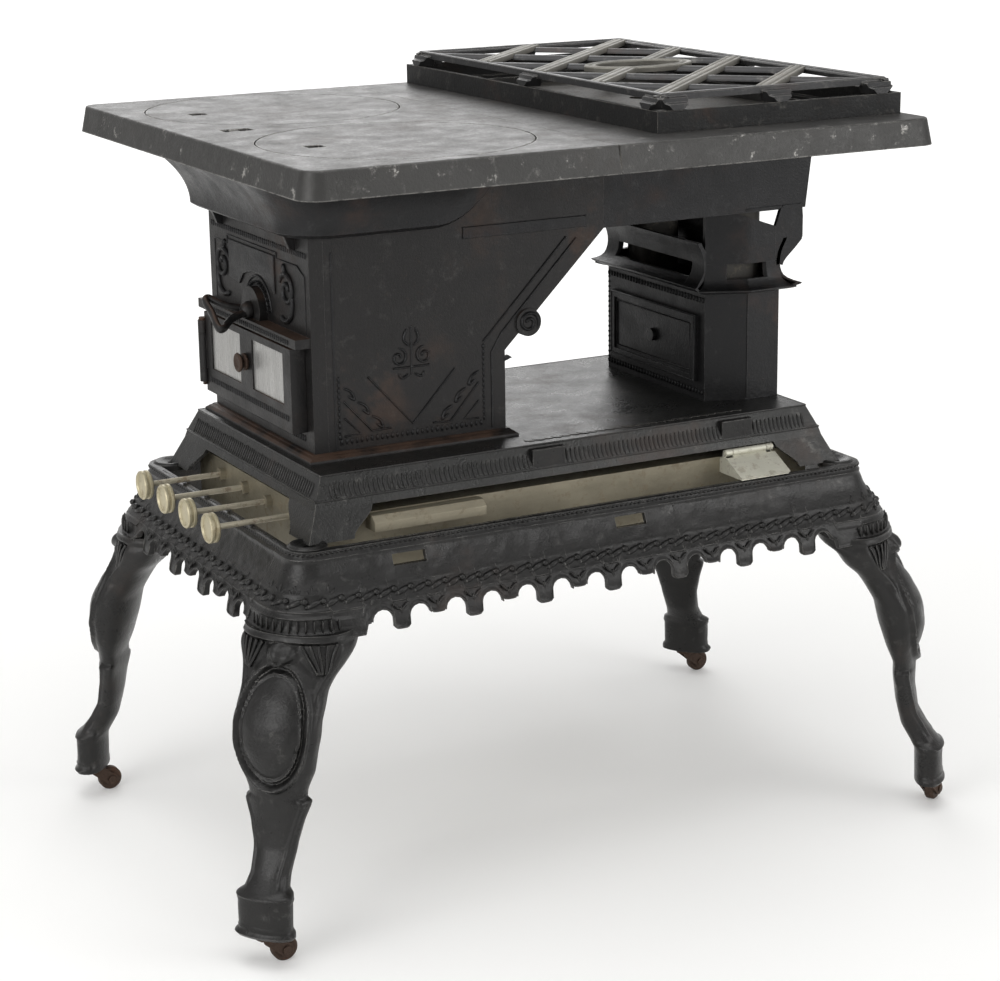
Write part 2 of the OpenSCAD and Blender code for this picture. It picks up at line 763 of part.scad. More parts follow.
// Skirt below the right half of the top: open below, closed at its right end, which flares
module side_skirt() {
    brim_z = under_z - 8;
    brim_x = skirt_x1 + skirt_flare;
    color([0.12, 0.12, 0.12]) {
        for (y = [skirt_y0, skirt_y1 - panel_t]) translate([0, y + panel_t, 0]) rotate([90, 0, 0])
            linear_extrude(panel_t) polygon([[flue_top_x, skirt_z], [skirt_x1, skirt_z],
                [brim_x, brim_z], [brim_x, under_z], [flue_top_x, under_z]]);
        translate([0, skirt_y1 - panel_t, 0]) rotate([90, 0, 0])
            linear_extrude(skirt_y1 - skirt_y0 - 2 * panel_t) polygon([[skirt_x1 - panel_t, skirt_z],
                [skirt_x1, skirt_z], [brim_x, brim_z], [brim_x, under_z],
                [brim_x - panel_t, under_z], [brim_x - panel_t, brim_z + 1]]);
    }
}

// Round-ended outline of a chimney, drawn in by a distance
module chimney_plan(inset = 0) {
    r = chimney_d / 2 - inset;
    square([chimney_w - chimney_d, 2 * r], center = true);
    for (s = [-1, 1]) translate([s * (chimney_w - chimney_d) / 2, 0]) circle(r);
}

// Sheet-metal chimneys: two in the housing, and two that reach a tin deck under the grate
module chimneys() {
    low = gallery_z + wall_t;
    inset = tray_floor_w + 1;
    color([0.45, 0.4, 0.3]) {
        for (n = [1:4]) translate([wick_x(n), wick_y(n), low]) difference() {
            high = is_main(n) ? under_z - 40 : under_z + deck_t;
            linear_extrude(high - low) chimney_plan();
            translate([0, 0, -1]) linear_extrude(high - low + 2) chimney_plan(wall_t);
        }
        difference() {
            translate([tray_x, tray_y, under_z])
                round_plate(tray_w - 2 * inset, tray_d - 2 * inset, tray_hole_r, deck_t);
            for (n = [1, 4]) translate([wick_x(n), wick_y(n), under_z - 1])
                linear_extrude(deck_t + 2) chimney_plan(wall_t / 2);
        }
    }
}

// ---- Plinth ----

module plinth_section() {
    t = plinth_t;
    f = plinth_face;
    polygon([[-plinth_lap, plinth_z - t], [-plinth_lap, plinth_z], f[0], f[1], f[2], f[3],
        [f[3][0] - t, f[3][1]], [f[2][0] - t, f[2][1]], [f[1][0] - t, f[1][1]], [-t, plinth_z - t]]);
}

// Opening between two ogee bracket feet, in a side of length l
module foot_gap(l) {
    brow = 22;
    n = 6;
    edge = l / 2 + plinth_face[2][0] - plinth_foot_w;
    rise = plinth_face[2][1] - apron_z;
    polygon(concat([[-edge, apron_z - 1]],
        [for (i = [0:n]) [-edge + brow * ease(i / n), apron_z + rise * i / n]],
        [for (i = [n:-1:0]) [edge - brow * ease(i / n), apron_z + rise * i / n]],
        [[edge, apron_z - 1]]));
}

// Stepped moulding on which the housing stands
module base_flange() {
    step = flange_h / 3;
    for (k = [0:2]) difference() {
        out = flange_out * (1 - k * 0.35);
        block(house_x0 - out, house_x1 + out, house_y0 - out, house_y1 + out,
            plinth_z - 0.01, plinth_z + step * (k + 1));
        block(house_x0 + end_t, house_x1 - panel_t, house_y0 + panel_t, house_y1 - panel_t,
            plinth_z - 1, house_z + 1);
    }
}

module plinth() {
    reach = plinth_face[3][0];
    half_w = plinth_w / 2 - plinth_lap + 1;
    half_d = plinth_d / 2 - plinth_lap + 1;
    cut_z = plinth_z - plinth_t - 4;
    color([0.17, 0.17, 0.17]) difference() {
        union() {
            mitre_frame(plinth_w, plinth_d, plinth_lap, reach) plinth_section();
            difference() {
                block(-half_w, half_w, -half_d, half_d, plinth_z - plinth_t, plinth_z);
                block(house_x0 + end_t + flange_in, house_x1 - flange_in, house_y0 + flange_in,
                    house_y1 - flange_in, cut_z, plinth_z + 1);
                translate([0, 0, cut_z]) linear_extrude(plinth_z + 1 - cut_z) box_plan(-flange_in);
            }
            base_flange();
        }
        rotate([90, 0, 0]) linear_extrude(2 * plinth_d, center = true) foot_gap(plinth_w);
        rotate([90, 0, 90]) linear_extrude(2 * plinth_w, center = true) foot_gap(plinth_d);
    }
}

// ---- Apron frame ----

// Section of the apron: distance past the line of the post centres, and height
module apron_section() {
    n = 7;
    edge = ring_r + lip;
    swell = post_r - edge;
    shoulder_z = apron_z - lip;
    body = apron_h - lip - 4;
    outer = [for (i = [0:n]) let (t = i / n) [edge + swell * ease(t), shoulder_z - body * t]];
    inner = [for (i = [0:n]) let (t = 1 - i / n)
        [edge - apron_t + swell * ease(t), shoulder_z - body * t - (t < 1 ? 2 : 0)]];
    polygon(concat([[ring_r, apron_z], [edge, apron_z]], outer,
        [[post_r, post_z], [post_r - apron_t, post_z]], inner, [[ring_r, shoulder_z]]));
}

// Cuts that leave a row of pendants on a rail, long and short by turns, with n arches each way
// from the middle; odd is 1 where the long pendants are the odd ones
module pendant_cuts(n, odd) {
    step = pendant_pitch / 2;
    arch_r = step / 3;
    short = 6;
    for (i = [-n:n - 1]) translate([(i + 0.5) * step, post_z]) {
        translate([0, skirt_low - arch_r]) circle(arch_r);
        translate([-arch_r, -2]) square([2 * arch_r, skirt_low - arch_r + 2]);
    }
    for (i = [-n:n]) if (abs(i) % 2 != odd)
        translate([(i - 0.5) * step, post_z - 2]) square([step, short + 2]);
}

module long_rail() {
    pad = 18;
    pad_out = ring_r + 1;
    arches = floor((post_cx - stub - lip) / pendant_pitch * 2);
    difference() {
        for (m = [0, 1]) mirror([m, 0, 0]) {
            translate([0, -post_cy, 0]) rotate([90, 0, 90]) linear_extrude(post_cx)
                mirror([1, 0, 0]) apron_section();
            translate([post_cx, -post_cy, 0]) {
                rotate([0, 0, -90]) rotate_extrude(angle = 90) apron_section();
                translate([0, stub, 0]) rotate([90, 0, 0]) linear_extrude(stub) apron_section();
                translate([-pad, -pad_out, apron_z - 5]) cube([pad + pad_out, pad + pad_out, 5]);
            }
        }
        rotate([90, 0, 0]) linear_extrude(2 * plinth_d) pendant_cuts(arches, 0);
        for (x = slot_x) block(x - slot_w / 2, x + slot_w / 2, -plinth_d, -post_cy, slot_z[0], slot_z[1]);
    }
}

module short_rail() {
    run = post_cy - stub;
    pad_y = 60;
    pad_half = 9;
    arches = floor(run / pendant_pitch * 2);
    difference() {
        union() {
            translate([post_cx, run, 0]) rotate([90, 0, 0]) linear_extrude(2 * run) apron_section();
            // pads that carry the tank
            for (s = [-1, 1]) block(plinth_w / 2 - 12, post_cx + ring_r + 18, s * pad_y - pad_half,
                s * pad_y + pad_half, tank_z - tank_h - 6, tank_z - tank_h);
        }
        rotate([90, 0, 90]) linear_extrude(2 * plinth_w) pendant_cuts(arches, 1);
    }
}

module apron_front() { color([0.2, 0.2, 0.19]) long_rail(); }
module apron_back() { color([0.2, 0.2, 0.19]) mirror([0, 1, 0]) long_rail(); }
module apron_left() { color([0.18, 0.18, 0.18]) mirror([1, 0, 0]) short_rail(); }
module apron_right() { color([0.18, 0.18, 0.18]) short_rail(); }

// ---- Legs ----

// Side view of a leg: distance outwards from its post's centre, and height above its underside
module leg_side() {
    h = leg_h;
    front = [[-1, h], [3, h - 12], [3, h - 22], [17, h - 38], [28, h - 60], [32, h - 81], [31, h - 110],
        [30, h - 142], [34, 69], [44, 50], [55, 38], [55, 8]];
    back = [[33, 8], [30, 33], [18, 55], [12, 80], [9, h - 132], [9, h - 119], [2, h - 104], [-6, h - 81],
        [-14, h - 58], [-28, h - 34], [-44, h - 20], [-56, h]];
    polygon([for (p = concat(front, back)) [post_r + p[0], p[1]]]);
}

// Front view of a leg: half its width at each height
module leg_front() {
    h = leg_h;
    half = [[47, h], [47, h - 8], [43, h - 20], [34, h - 42], [37, h - 60], [38, h - 76], [35, h - 100],
        [29, h - 118], [28, h - 138], [22, 78], [18, 44], [22, 36], [22, 8]];
    polygon(concat([for (p = half) p], [for (i = [len(half) - 1:-1:0]) [-half[i][0], half[i][1]]]));
}

module leg(c) {
    block_w = 27;
    lip_w = 30;
    mirror([c[0] < 0 ? 1 : 0, 0, 0]) mirror([0, c[1] < 0 ? 1 : 0, 0])
        translate([post_cx, post_cy, foot_z]) rotate([0, 0, leg_dir]) difference() {
            union() {
                intersection() {
                    rotate([90, 0, 0]) linear_extrude(2 * post_r, center = true) leg_side();
                    rotate([90, 0, 90]) linear_extrude(4 * post_r) leg_front();
                }
                translate([swivel_s, 0, 0]) {
                    intersection() {
                        cylinder(h = 34, r = block_w);
                        translate([-block_w / 2, -40, -1]) cube([block_w, 80, 50]);
                    }
                    intersection() {
                        cylinder(h = 7, r = block_w + 1.5);
                        translate([-lip_w / 2, -40, -1]) cube([lip_w, 80, 50]);
                    }
                }
            }
            translate([swivel_s, 0, -1]) cylinder(h = stem_h + 2, r = stem_r + run_fit);
        }
}

// ---- Casters ----

function swivel(c) = [c[0] * (post_cx + swivel_s * cos(leg_dir)),
    c[1] * (post_cy + swivel_s * sin(leg_dir)), 0];
function turn_of(c) = caster_turn[(c[0] + 1) / 2 + (c[1] + 1)];

// Places a caster's part at its leg, with its wheel trailing along +X
module at_caster(c) {
    translate(swivel(c)) rotate([0, 0, turn_of(c)]) children();
}

module caster_fork(c) {
    crown_t = 3;
    crown_z = foot_z - gap - crown_t;
    half = wheel_w / 2 + gap;
    color([0.3, 0.19, 0.13]) at_caster(c) difference() {
        union() {
            translate([0, 0, crown_z]) {
                cylinder(h = crown_t, r = 10);
                cylinder(h = crown_t + gap + stem_h, r = stem_r);
            }
            for (s = [-1, 1]) translate([0, s * (half + cheek / 2), 0]) rotate([90, 0, 0])
                linear_extrude(cheek, center = true) {
                    translate([trail, wheel_r]) circle(6);
                    polygon([[-6, crown_z + 1], [7, crown_z + 1], [trail + 5, wheel_r + 3],
                        [trail - 3, wheel_r - 5], [-5, crown_z - 3]]);
                }
            translate([-8, -half - cheek, crown_z]) cube([14, 2 * (half + cheek), crown_t]);
        }
        translate([trail, 0, wheel_r]) rotate([90, 0, 0]) cylinder(h = 40, r = axle_r, center = true);
    }
}

module caster_wheel(c) {
    edge = 1.5;
    bore = axle_r + run_fit;
    color([0.28, 0.18, 0.13]) at_caster(c) translate([trail, 0, wheel_r]) rotate([90, 0, 0])
        translate([0, 0, -wheel_w / 2]) rotate_extrude() polygon([[bore, 0], [wheel_r - edge, 0],
            [wheel_r, edge], [wheel_r, wheel_w - edge], [wheel_r - edge, wheel_w], [bore, wheel_w]]);
}

module caster_axle(c) {
    half = wheel_w / 2 + gap + cheek;
    head = 1.5;
    color([0.3, 0.2, 0.14]) at_caster(c) translate([trail, 0, wheel_r]) rotate([90, 0, 0]) {
        cylinder(h = 2 * half, r = axle_r, center = true);
        for (s = [-1, 1]) translate([0, 0, s * (half + head / 2)])
            cylinder(h = head, r = axle_r + 1.5, center = true);
    }
}

// ---- Tank and burners ----

function shaft_y(n) = (n - 2.5) * shaft_pitch;
function is_main(n) = n == 2 || n == 3;
function wick_x(n) = is_main(n) ? main_wick_x : side_wick_x;
// A shaft feeds the wick at its back or at its front
function feed(n) = n % 2 == 1 ? 1 : -1;
function wick_y(n) = shaft_y(n) + feed(n) * wick_side;

module oil_tank() {
    sheet = 1.5;
    color([0.42, 0.38, 0.29]) difference() {
        union() {
            difference() {
                block(-tank_w / 2, tank_w / 2, -tank_d / 2, tank_d / 2, tank_z - tank_h, tank_z);
                block(-tank_w / 2 + sheet, tank_w / 2 - sheet, -tank_d / 2 + sheet, tank_d / 2 - sheet,
                    tank_z - tank_h + sheet, tank_z - sheet);
            }
            for (n = [1:4]) translate([-tank_w / 2 - 6, shaft_y(n), shaft_z]) rotate([0, 90, 0])
                cylinder(h = 10, r = 5.5);
        }
        for (n = [1:4]) {
            translate([-tank_w / 2 - 10, shaft_y(n), shaft_z]) rotate([0, 90, 0])
                cylinder(h = 20, r = shaft_r + run_fit);
            translate([wick_x(n), wick_y(n), tank_z]) cube([tube_w, tube_t, 9], center = true);
        }
    }
}

// Bevelled feed channel along the tank's front
module tank_strip() {
    run = 104;
    out = 18;
    tall = 13;
    cut = 5;
    color([0.5, 0.47, 0.38]) translate([-plinth_w / 2 + 38, -tank_d / 2, tank_z]) rotate([90, 0, 90])
        linear_extrude(run) polygon([[-out, -tall], [0, -tall], [0, -1], [-cut, 0], [cut - out, 0],
            [-out, -cut]]);
}

// Wedge-shaped filler spout, open at its slope
module filler_box() {
    sheet = 1.5;
    back = -tank_d / 2;
    color([0.55, 0.54, 0.46]) difference() {
        union() {
            translate([filler_x - filler_half, 0, 0]) rotate([90, 0, 90]) linear_extrude(2 * filler_half)
                polygon([[back, filler_low_z - 1], [back, filler_z - 5], [filler_y, filler_z - 4],
                    [filler_low_y, filler_low_z], [filler_low_y, filler_low_z - 1]]);
            for (s = [-1, 1])
                translate([filler_x + s * (filler_half - filler_lug / 2), filler_y, filler_z]) {
                    rotate([0, 90, 0]) cylinder(h = filler_lug, r = 3, center = true);
                    translate([0, 2, -3]) cube([filler_lug, 3, 5], center = true);
                }
        }
        translate([filler_x - filler_half + sheet, 0, 0]) rotate([90, 0, 90])
            linear_extrude(2 * (filler_half - sheet)) polygon([[back - sheet, filler_low_z + sheet],
                [back - sheet, filler_z - 7], [filler_y - 1, filler_z - 3],
                [filler_low_y + 4, filler_low_z + 3], [filler_low_y + 6, filler_low_z + sheet]]);
        translate([filler_x, filler_y, filler_z]) rotate([0, 90, 0])
            cylinder(h = 3 * filler_half, r = filler_pin_r + run_fit, center = true);
    }
}

module filler_lid() {
    slope = atan2(filler_z - 4 - filler_low_z, filler_y - filler_low_y);
    long = (filler_y - filler_low_y) / cos(slope);
    plate_t = 1.5;
    plate_z = gap - 4 * cos(slope);
    inner = filler_half - filler_lug - gap;
    color([0.62, 0.61, 0.54]) translate([filler_x, filler_y, filler_z]) {
        rotate([0, 90, 0]) cylinder(h = 2 * (filler_half + 1), r = filler_pin_r, center = true);
        rotate([0, 90, 0]) cylinder(h = 2 * inner, r = 3, center = true);
        rotate([slope, 0, 0]) {
            translate([-filler_half - 1, -long - 2, plate_z])
                cube([2 * filler_half + 2, long - 3, plate_t]);
            translate([-inner, -6, plate_z]) cube([2 * inner, 6, plate_t]);
        }
    }
}

// Flat wick tubes with their galleries and the ears that carry the shafts
module wick_tubes() {
    low = tank_z - tank_h + 8;
    mid = (low + wick_top) / 2;
    ear_t = 2;
    ear = 9;
    color([0.5, 0.42, 0.28]) for (n = [1:4]) translate([wick_x(n), shaft_y(n), 0]) difference() {
        union() {
            translate([0, feed(n) * wick_side, mid]) cube([tube_w, tube_t, wick_top - low], center = true);
            translate([0, feed(n) * wick_side, gallery_z]) linear_extrude(wall_t) chimney_plan();
            for (s = [-1, 1])
                translate([s * (tube_w - ear_t) / 2, feed(n) * (wick_side - ear / 2) / 2, shaft_z])
                    cube([ear_t, wick_side + ear / 2, ear], center = true);
        }
        translate([0, feed(n) * wick_side, mid])
            cube([wick_w + 2 * gap, wick_t + 2 * gap, wick_top - low + 2], center = true);
        rotate([0, 90, 0]) translate([-shaft_z, 0, 0])
            cylinder(h = 2 * tube_w, r = shaft_r + run_fit, center = true);
        for (s = [-1, 1]) translate([s * wheel_at, 0, shaft_z]) rotate([0, 90, 0])
            cylinder(h = wheel_t + 2 * gap, r = wheel_out + gap, center = true);
    }
}

module wick_shaft(n) {
    x1 = wick_x(n) + tube_w / 2 + 2;
    color([0.62, 0.56, 0.42]) translate([0, shaft_y(n), shaft_z]) rotate([0, 90, 0]) {
        translate([0, 0, shaft_x0 + knob_t / 2]) cylinder(h = x1 - shaft_x0 - knob_t / 2, r = shaft_r);
        for (s = [-1, 1]) translate([0, 0, wick_x(n) + s * wheel_at])
            cylinder(h = wheel_t, r = wheel_out, center = true);
    }
}

module wick_knob(n) {
    dish = 1.5;
    rim = knob_r - 3;
    groove = knob_r - 1.5;
    color([0.72, 0.68, 0.55]) translate([shaft_x0, shaft_y(n), shaft_z]) rotate([0, 90, 0])
        rotate_extrude() polygon([[0, dish], [rim, dish], [rim + 1, 0], [knob_r - 1, 0], [knob_r, 1],
            [knob_r, 3], [groove, 3.8], [groove, 4.6], [knob_r, 5.4], [knob_r, 7.5], [knob_r - 1, 8.5],
            [5, 9], [4, knob_t], [shaft_r, knob_t], [shaft_r, knob_t / 2], [0, knob_t / 2]]);
}

module wick(n) {
    low = tank_z - tank_h + 4;
    color([0.85, 0.82, 0.74]) translate([wick_x(n), wick_y(n), (low + wick_top) / 2 - 1])
        cube([wick_w, wick_t, wick_top - low], center = true);
}

module wick_shaft_1() { wick_shaft(1); }
module wick_shaft_2() { wick_shaft(2); }
module wick_shaft_3() { wick_shaft(3); }
module wick_shaft_4() { wick_shaft(4); }
module wick_knob_1() { wick_knob(1); }
module wick_knob_2() { wick_knob(2); }
module wick_knob_3() { wick_knob(3); }
module wick_knob_4() { wick_knob(4); }
module wick_1() { wick(1); }
module wick_2() { wick(2); }
module wick_3() { wick(3); }
module wick_4() { wick(4); }

module leg_front_left() { color([0.13, 0.13, 0.13]) leg(corners[0]); }
module leg_front_right() { color([0.13, 0.13, 0.13]) leg(corners[1]); }
module leg_back_left() { color([0.13, 0.13, 0.13]) leg(corners[2]); }
module leg_back_right() { color([0.13, 0.13, 0.13]) leg(corners[3]); }
module caster_fork_front_left() { caster_fork(corners[0]); }
module caster_fork_front_right() { caster_fork(corners[1]); }
module caster_fork_back_left() { caster_fork(corners[2]); }
module caster_fork_back_right() { caster_fork(corners[3]); }
module caster_wheel_front_left() { caster_wheel(corners[0]); }
module caster_wheel_front_right() { caster_wheel(corners[1]); }
module caster_wheel_back_left() { caster_wheel(corners[2]); }
module caster_wheel_back_right() { caster_wheel(corners[3]); }
module caster_axle_front_left() { caster_axle(corners[0]); }
module caster_axle_front_right() { caster_axle(corners[1]); }
module caster_axle_back_left() { caster_axle(corners[2]); }
module caster_axle_back_right() { caster_axle(corners[3]); }

top_plate_left();
top_plate_right();
lid_front();
lid_back();
pot_tray();
pot_grate();
flare_hood();
end_panel();
front_panel();
back_panel();
flue_panel();
window_door();
mica_panes();
turn_knob();
lever_handle();
door_hinge_pin();
side_skirt();
side_box();
side_box_cover();
side_collar();
chimneys();
plinth();
apron_front();
apron_back();
apron_left();
apron_right();
cover_screw();
oil_tank();
tank_strip();
filler_box();
filler_lid();
wick_tubes();
wick_shaft_1();
wick_shaft_2();
wick_shaft_3();
wick_shaft_4();
wick_knob_1();
wick_knob_2();
wick_knob_3();
wick_knob_4();
wick_1();
wick_2();
wick_3();
wick_4();
leg_front_left();
leg_front_right();
leg_back_left();
leg_back_right();
caster_fork_front_left();
caster_fork_front_right();
caster_fork_back_left();
caster_fork_back_right();
caster_wheel_front_left();
caster_wheel_front_right();
caster_wheel_back_left();
caster_wheel_back_right();
caster_axle_front_left();
caster_axle_front_right();
caster_axle_back_left();
caster_axle_back_right();
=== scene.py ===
"""Looks of a cast-iron oil cook stove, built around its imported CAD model.

Shapes are written in millimetres and made into metres by piece(). Camera, lamps and materials are in metres.
"""
import json
import math

import bmesh
import bpy
from mathutils import Matrix, Vector, noise


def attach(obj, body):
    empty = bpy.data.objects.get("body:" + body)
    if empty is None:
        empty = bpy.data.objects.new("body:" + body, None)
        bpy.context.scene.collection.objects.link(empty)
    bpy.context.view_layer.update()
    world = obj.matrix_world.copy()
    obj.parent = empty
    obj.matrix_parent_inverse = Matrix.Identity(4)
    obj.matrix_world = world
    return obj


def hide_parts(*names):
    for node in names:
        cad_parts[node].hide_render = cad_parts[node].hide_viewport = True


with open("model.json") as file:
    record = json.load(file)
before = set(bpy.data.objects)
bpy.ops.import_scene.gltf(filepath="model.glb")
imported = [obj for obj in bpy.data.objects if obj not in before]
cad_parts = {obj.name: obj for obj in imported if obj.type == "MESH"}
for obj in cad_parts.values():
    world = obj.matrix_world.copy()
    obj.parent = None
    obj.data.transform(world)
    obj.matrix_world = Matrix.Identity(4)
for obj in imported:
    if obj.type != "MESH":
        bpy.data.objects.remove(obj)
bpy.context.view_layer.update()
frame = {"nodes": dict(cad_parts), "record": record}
nodes = frame["nodes"]
scene = bpy.context.scene
MM = 0.001


def ease(t):
    t = min(max(t, 0.0), 1.0)
    return t * t * (3 - 2 * t)


def bump(x, half):
    """A smooth hump of height 1 at 0 that falls to 0 at half on each side."""
    return ease(1 - abs(x) / half) if abs(x) < half else 0.0


def mix(a, b, t):
    return a + (b - a) * t


# ---- Camera, light and floor ----

def place_camera():
    yaw, pitch, roll = 0.4881, 0.2719, -0.0140
    eye = Vector((-1.0256, -1.9275, 0.9105))
    forward = Vector((math.sin(yaw) * math.cos(pitch), math.cos(yaw) * math.cos(pitch), -math.sin(pitch)))
    right = Vector((math.cos(yaw), -math.sin(yaw), 0))
    up = right.cross(forward)
    side = math.cos(roll) * right + math.sin(roll) * up
    top = -math.sin(roll) * right + math.cos(roll) * up
    data = bpy.data.cameras.new("camera")
    data.sensor_fit = "HORIZONTAL"
    data.sensor_width = 36
    data.lens = 88.91
    data.clip_end = 50
    camera = bpy.data.objects.new("camera", data)
    scene.collection.objects.link(camera)
    camera.matrix_world = Matrix((
        (side.x, top.x, -forward.x, eye.x),
        (side.y, top.y, -forward.y, eye.y),
        (side.z, top.z, -forward.z, eye.z),
        (0, 0, 0, 1)))
    scene.camera = camera


def softbox(name, place, aim, size, power, tint=(1, 1, 1)):
    data = bpy.data.lights.new(name, "AREA")
    data.shape = "RECTANGLE"
    data.size, data.size_y = size
    data.energy = power
    data.color = tint
    lamp = bpy.data.objects.new(name, data)
    scene.collection.objects.link(lamp)
    lamp.location = place
    lamp.rotation_euler = (Vector(aim) - Vector(place)).to_track_quat("-Z", "Y").to_euler()


def light_studio():
    softbox("overhead", (-0.2, -0.3, 2.6), (0, 0, 0.4), (2.4, 2.0), 34)
    softbox("left_window", (-2.6, -1.0, 1.3), (0, 0, 0.4), (1.6, 1.6), 26)
    softbox("right_panel", (1.9, -2.4, 1.1), (0, 0, 0.4), (1.4, 1.4), 20)
    softbox("back_panel", (0.8, 2.4, 1.6), (0, 0, 0.5), (1.8, 1.2), 16)
    world = bpy.data.worlds.new("studio")
    world.use_nodes = True
    scene.world = world
    tree = world.node_tree
    background = tree.nodes["Background"]
    background.inputs["Color"].default_value = (1, 0.99, 0.98, 1)
    background.inputs["Strength"].default_value = 0.55
    shown = tree.nodes.new("ShaderNodeBackground")
    shown.inputs["Color"].default_value = (0.93, 0.93, 0.93, 1)
    shown.inputs["Strength"].default_value = 1
    path = tree.nodes.new("ShaderNodeLightPath")
    choose = tree.nodes.new("ShaderNodeMixShader")
    tree.links.new(path.outputs["Is Camera Ray"], choose.inputs["Fac"])
    tree.links.new(background.outputs[0], choose.inputs[1])
    tree.links.new(shown.outputs[0], choose.inputs[2])
    tree.links.new(choose.outputs[0], tree.nodes["World Output"].inputs["Surface"])
    scene.view_settings.view_transform = "Standard"


def lay_floor():
    """A pale floor that brightens, for the camera alone, to the white of the room far away."""
    mesh = bpy.data.meshes.new("floor")
    reach = 14
    mesh.from_pydata([(-reach, -reach, 0), (reach, -reach, 0), (reach, reach, 0), (-reach, reach, 0)],
                     [], [(0, 1, 2, 3)])
    floor = bpy.data.objects.new("floor", mesh)
    scene.collection.objects.link(floor)
    paint = bpy.data.materials.new("pale_floor")
    paint.use_nodes = True
    tree = paint.node_tree
    t = Tree(tree)
    shader = tree.nodes["Principled BSDF"]
    shader.inputs["Base Color"].default_value = (0.8, 0.8, 0.79, 1)
    shader.inputs["Roughness"].default_value = 0.85
    shader.inputs["Emission Color"].default_value = (1, 1, 1, 1)
    far = tree.nodes.new("ShaderNodeVectorMath")
    far.operation = "LENGTH"
    t.put(far.inputs[0], t.add("TexCoord").outputs["Object"])
    glow = t.math("MULTIPLY_ADD", t.ramp(far.outputs["Value"], 0.5, 4.5), 0.62)
    glow.node.inputs[2].default_value = 0.16
    t.put(shader.inputs["Emission Strength"], t.math("MULTIPLY", glow, t.add("LightPath").outputs["Is Camera Ray"]))
    mesh.materials.append(paint)


# ---- Shader groups ----

class Tree:
    """Short calls for building a node tree."""

    def __init__(self, tree):
        self.tree = tree

    def add(self, kind, **sockets):
        node = self.tree.nodes.new("ShaderNode" + kind)
        for key, value in sockets.items():
            self.put(node.inputs[key.replace("_", " ")], value)
        return node

    def put(self, socket, value):
        if isinstance(value, bpy.types.NodeSocket):
            self.tree.links.new(value, socket)
        else:
            socket.default_value = value

    def math(self, kind, a, b=0.5, clamp=False):
        node = self.tree.nodes.new("ShaderNodeMath")
        node.operation = kind
        node.use_clamp = clamp
        self.put(node.inputs[0], a)
        self.put(node.inputs[1], b)
        return node.outputs[0]

    def noise(self, where, scale, detail=4.0, rough=0.55, kind="Fac"):
        node = self.add("TexNoise", Scale=scale, Detail=detail, Roughness=rough)
        self.put(node.inputs["Vector"], where)
        return node.outputs[kind]

    def ramp(self, value, low, high):
        """0 below low, 1 above high, smooth between."""
        node = self.tree.nodes.new("ShaderNodeMapRange")
        node.interpolation_type = "SMOOTHSTEP"
        self.put(node.inputs["Value"], value)
        node.inputs["From Min"].default_value = low
        node.inputs["From Max"].default_value = high
        return node.outputs["Result"]

    def blend(self, amount, a, b, kind="MIX"):
        node = self.tree.nodes.new("ShaderNodeMix")
        node.data_type = "RGBA"
        node.blend_type = kind
        self.put(node.inputs["Factor"], amount)
        self.put(node.inputs["A"], a)
        self.put(node.inputs["B"], b)
        return node.outputs["Result"]

    def scaled(self, where, factors):
        node = self.tree.nodes.new("ShaderNodeMapping")
        self.put(node.inputs["Vector"], where)
        node.inputs["Scale"].default_value = factors
        return node.outputs["Vector"]


def group(name, ins, outs):
    tree = bpy.data.node_groups.new(name, "ShaderNodeTree")
    kinds = {"c": "NodeSocketColor", "f": "NodeSocketFloat", "v": "NodeSocketVector"}
    for label, kind, value in ins:
        socket = tree.interface.new_socket(label, in_out="INPUT", socket_type=kinds[kind])
        if kind != "v":
            socket.default_value = value
    for label, kind in outs:
        tree.interface.new_socket(label, in_out="OUTPUT", socket_type=kinds[kind])
    start = tree.nodes.new("NodeGroupInput")
    end = tree.nodes.new("NodeGroupOutput")
    return tree, Tree(tree), start.outputs, end.inputs


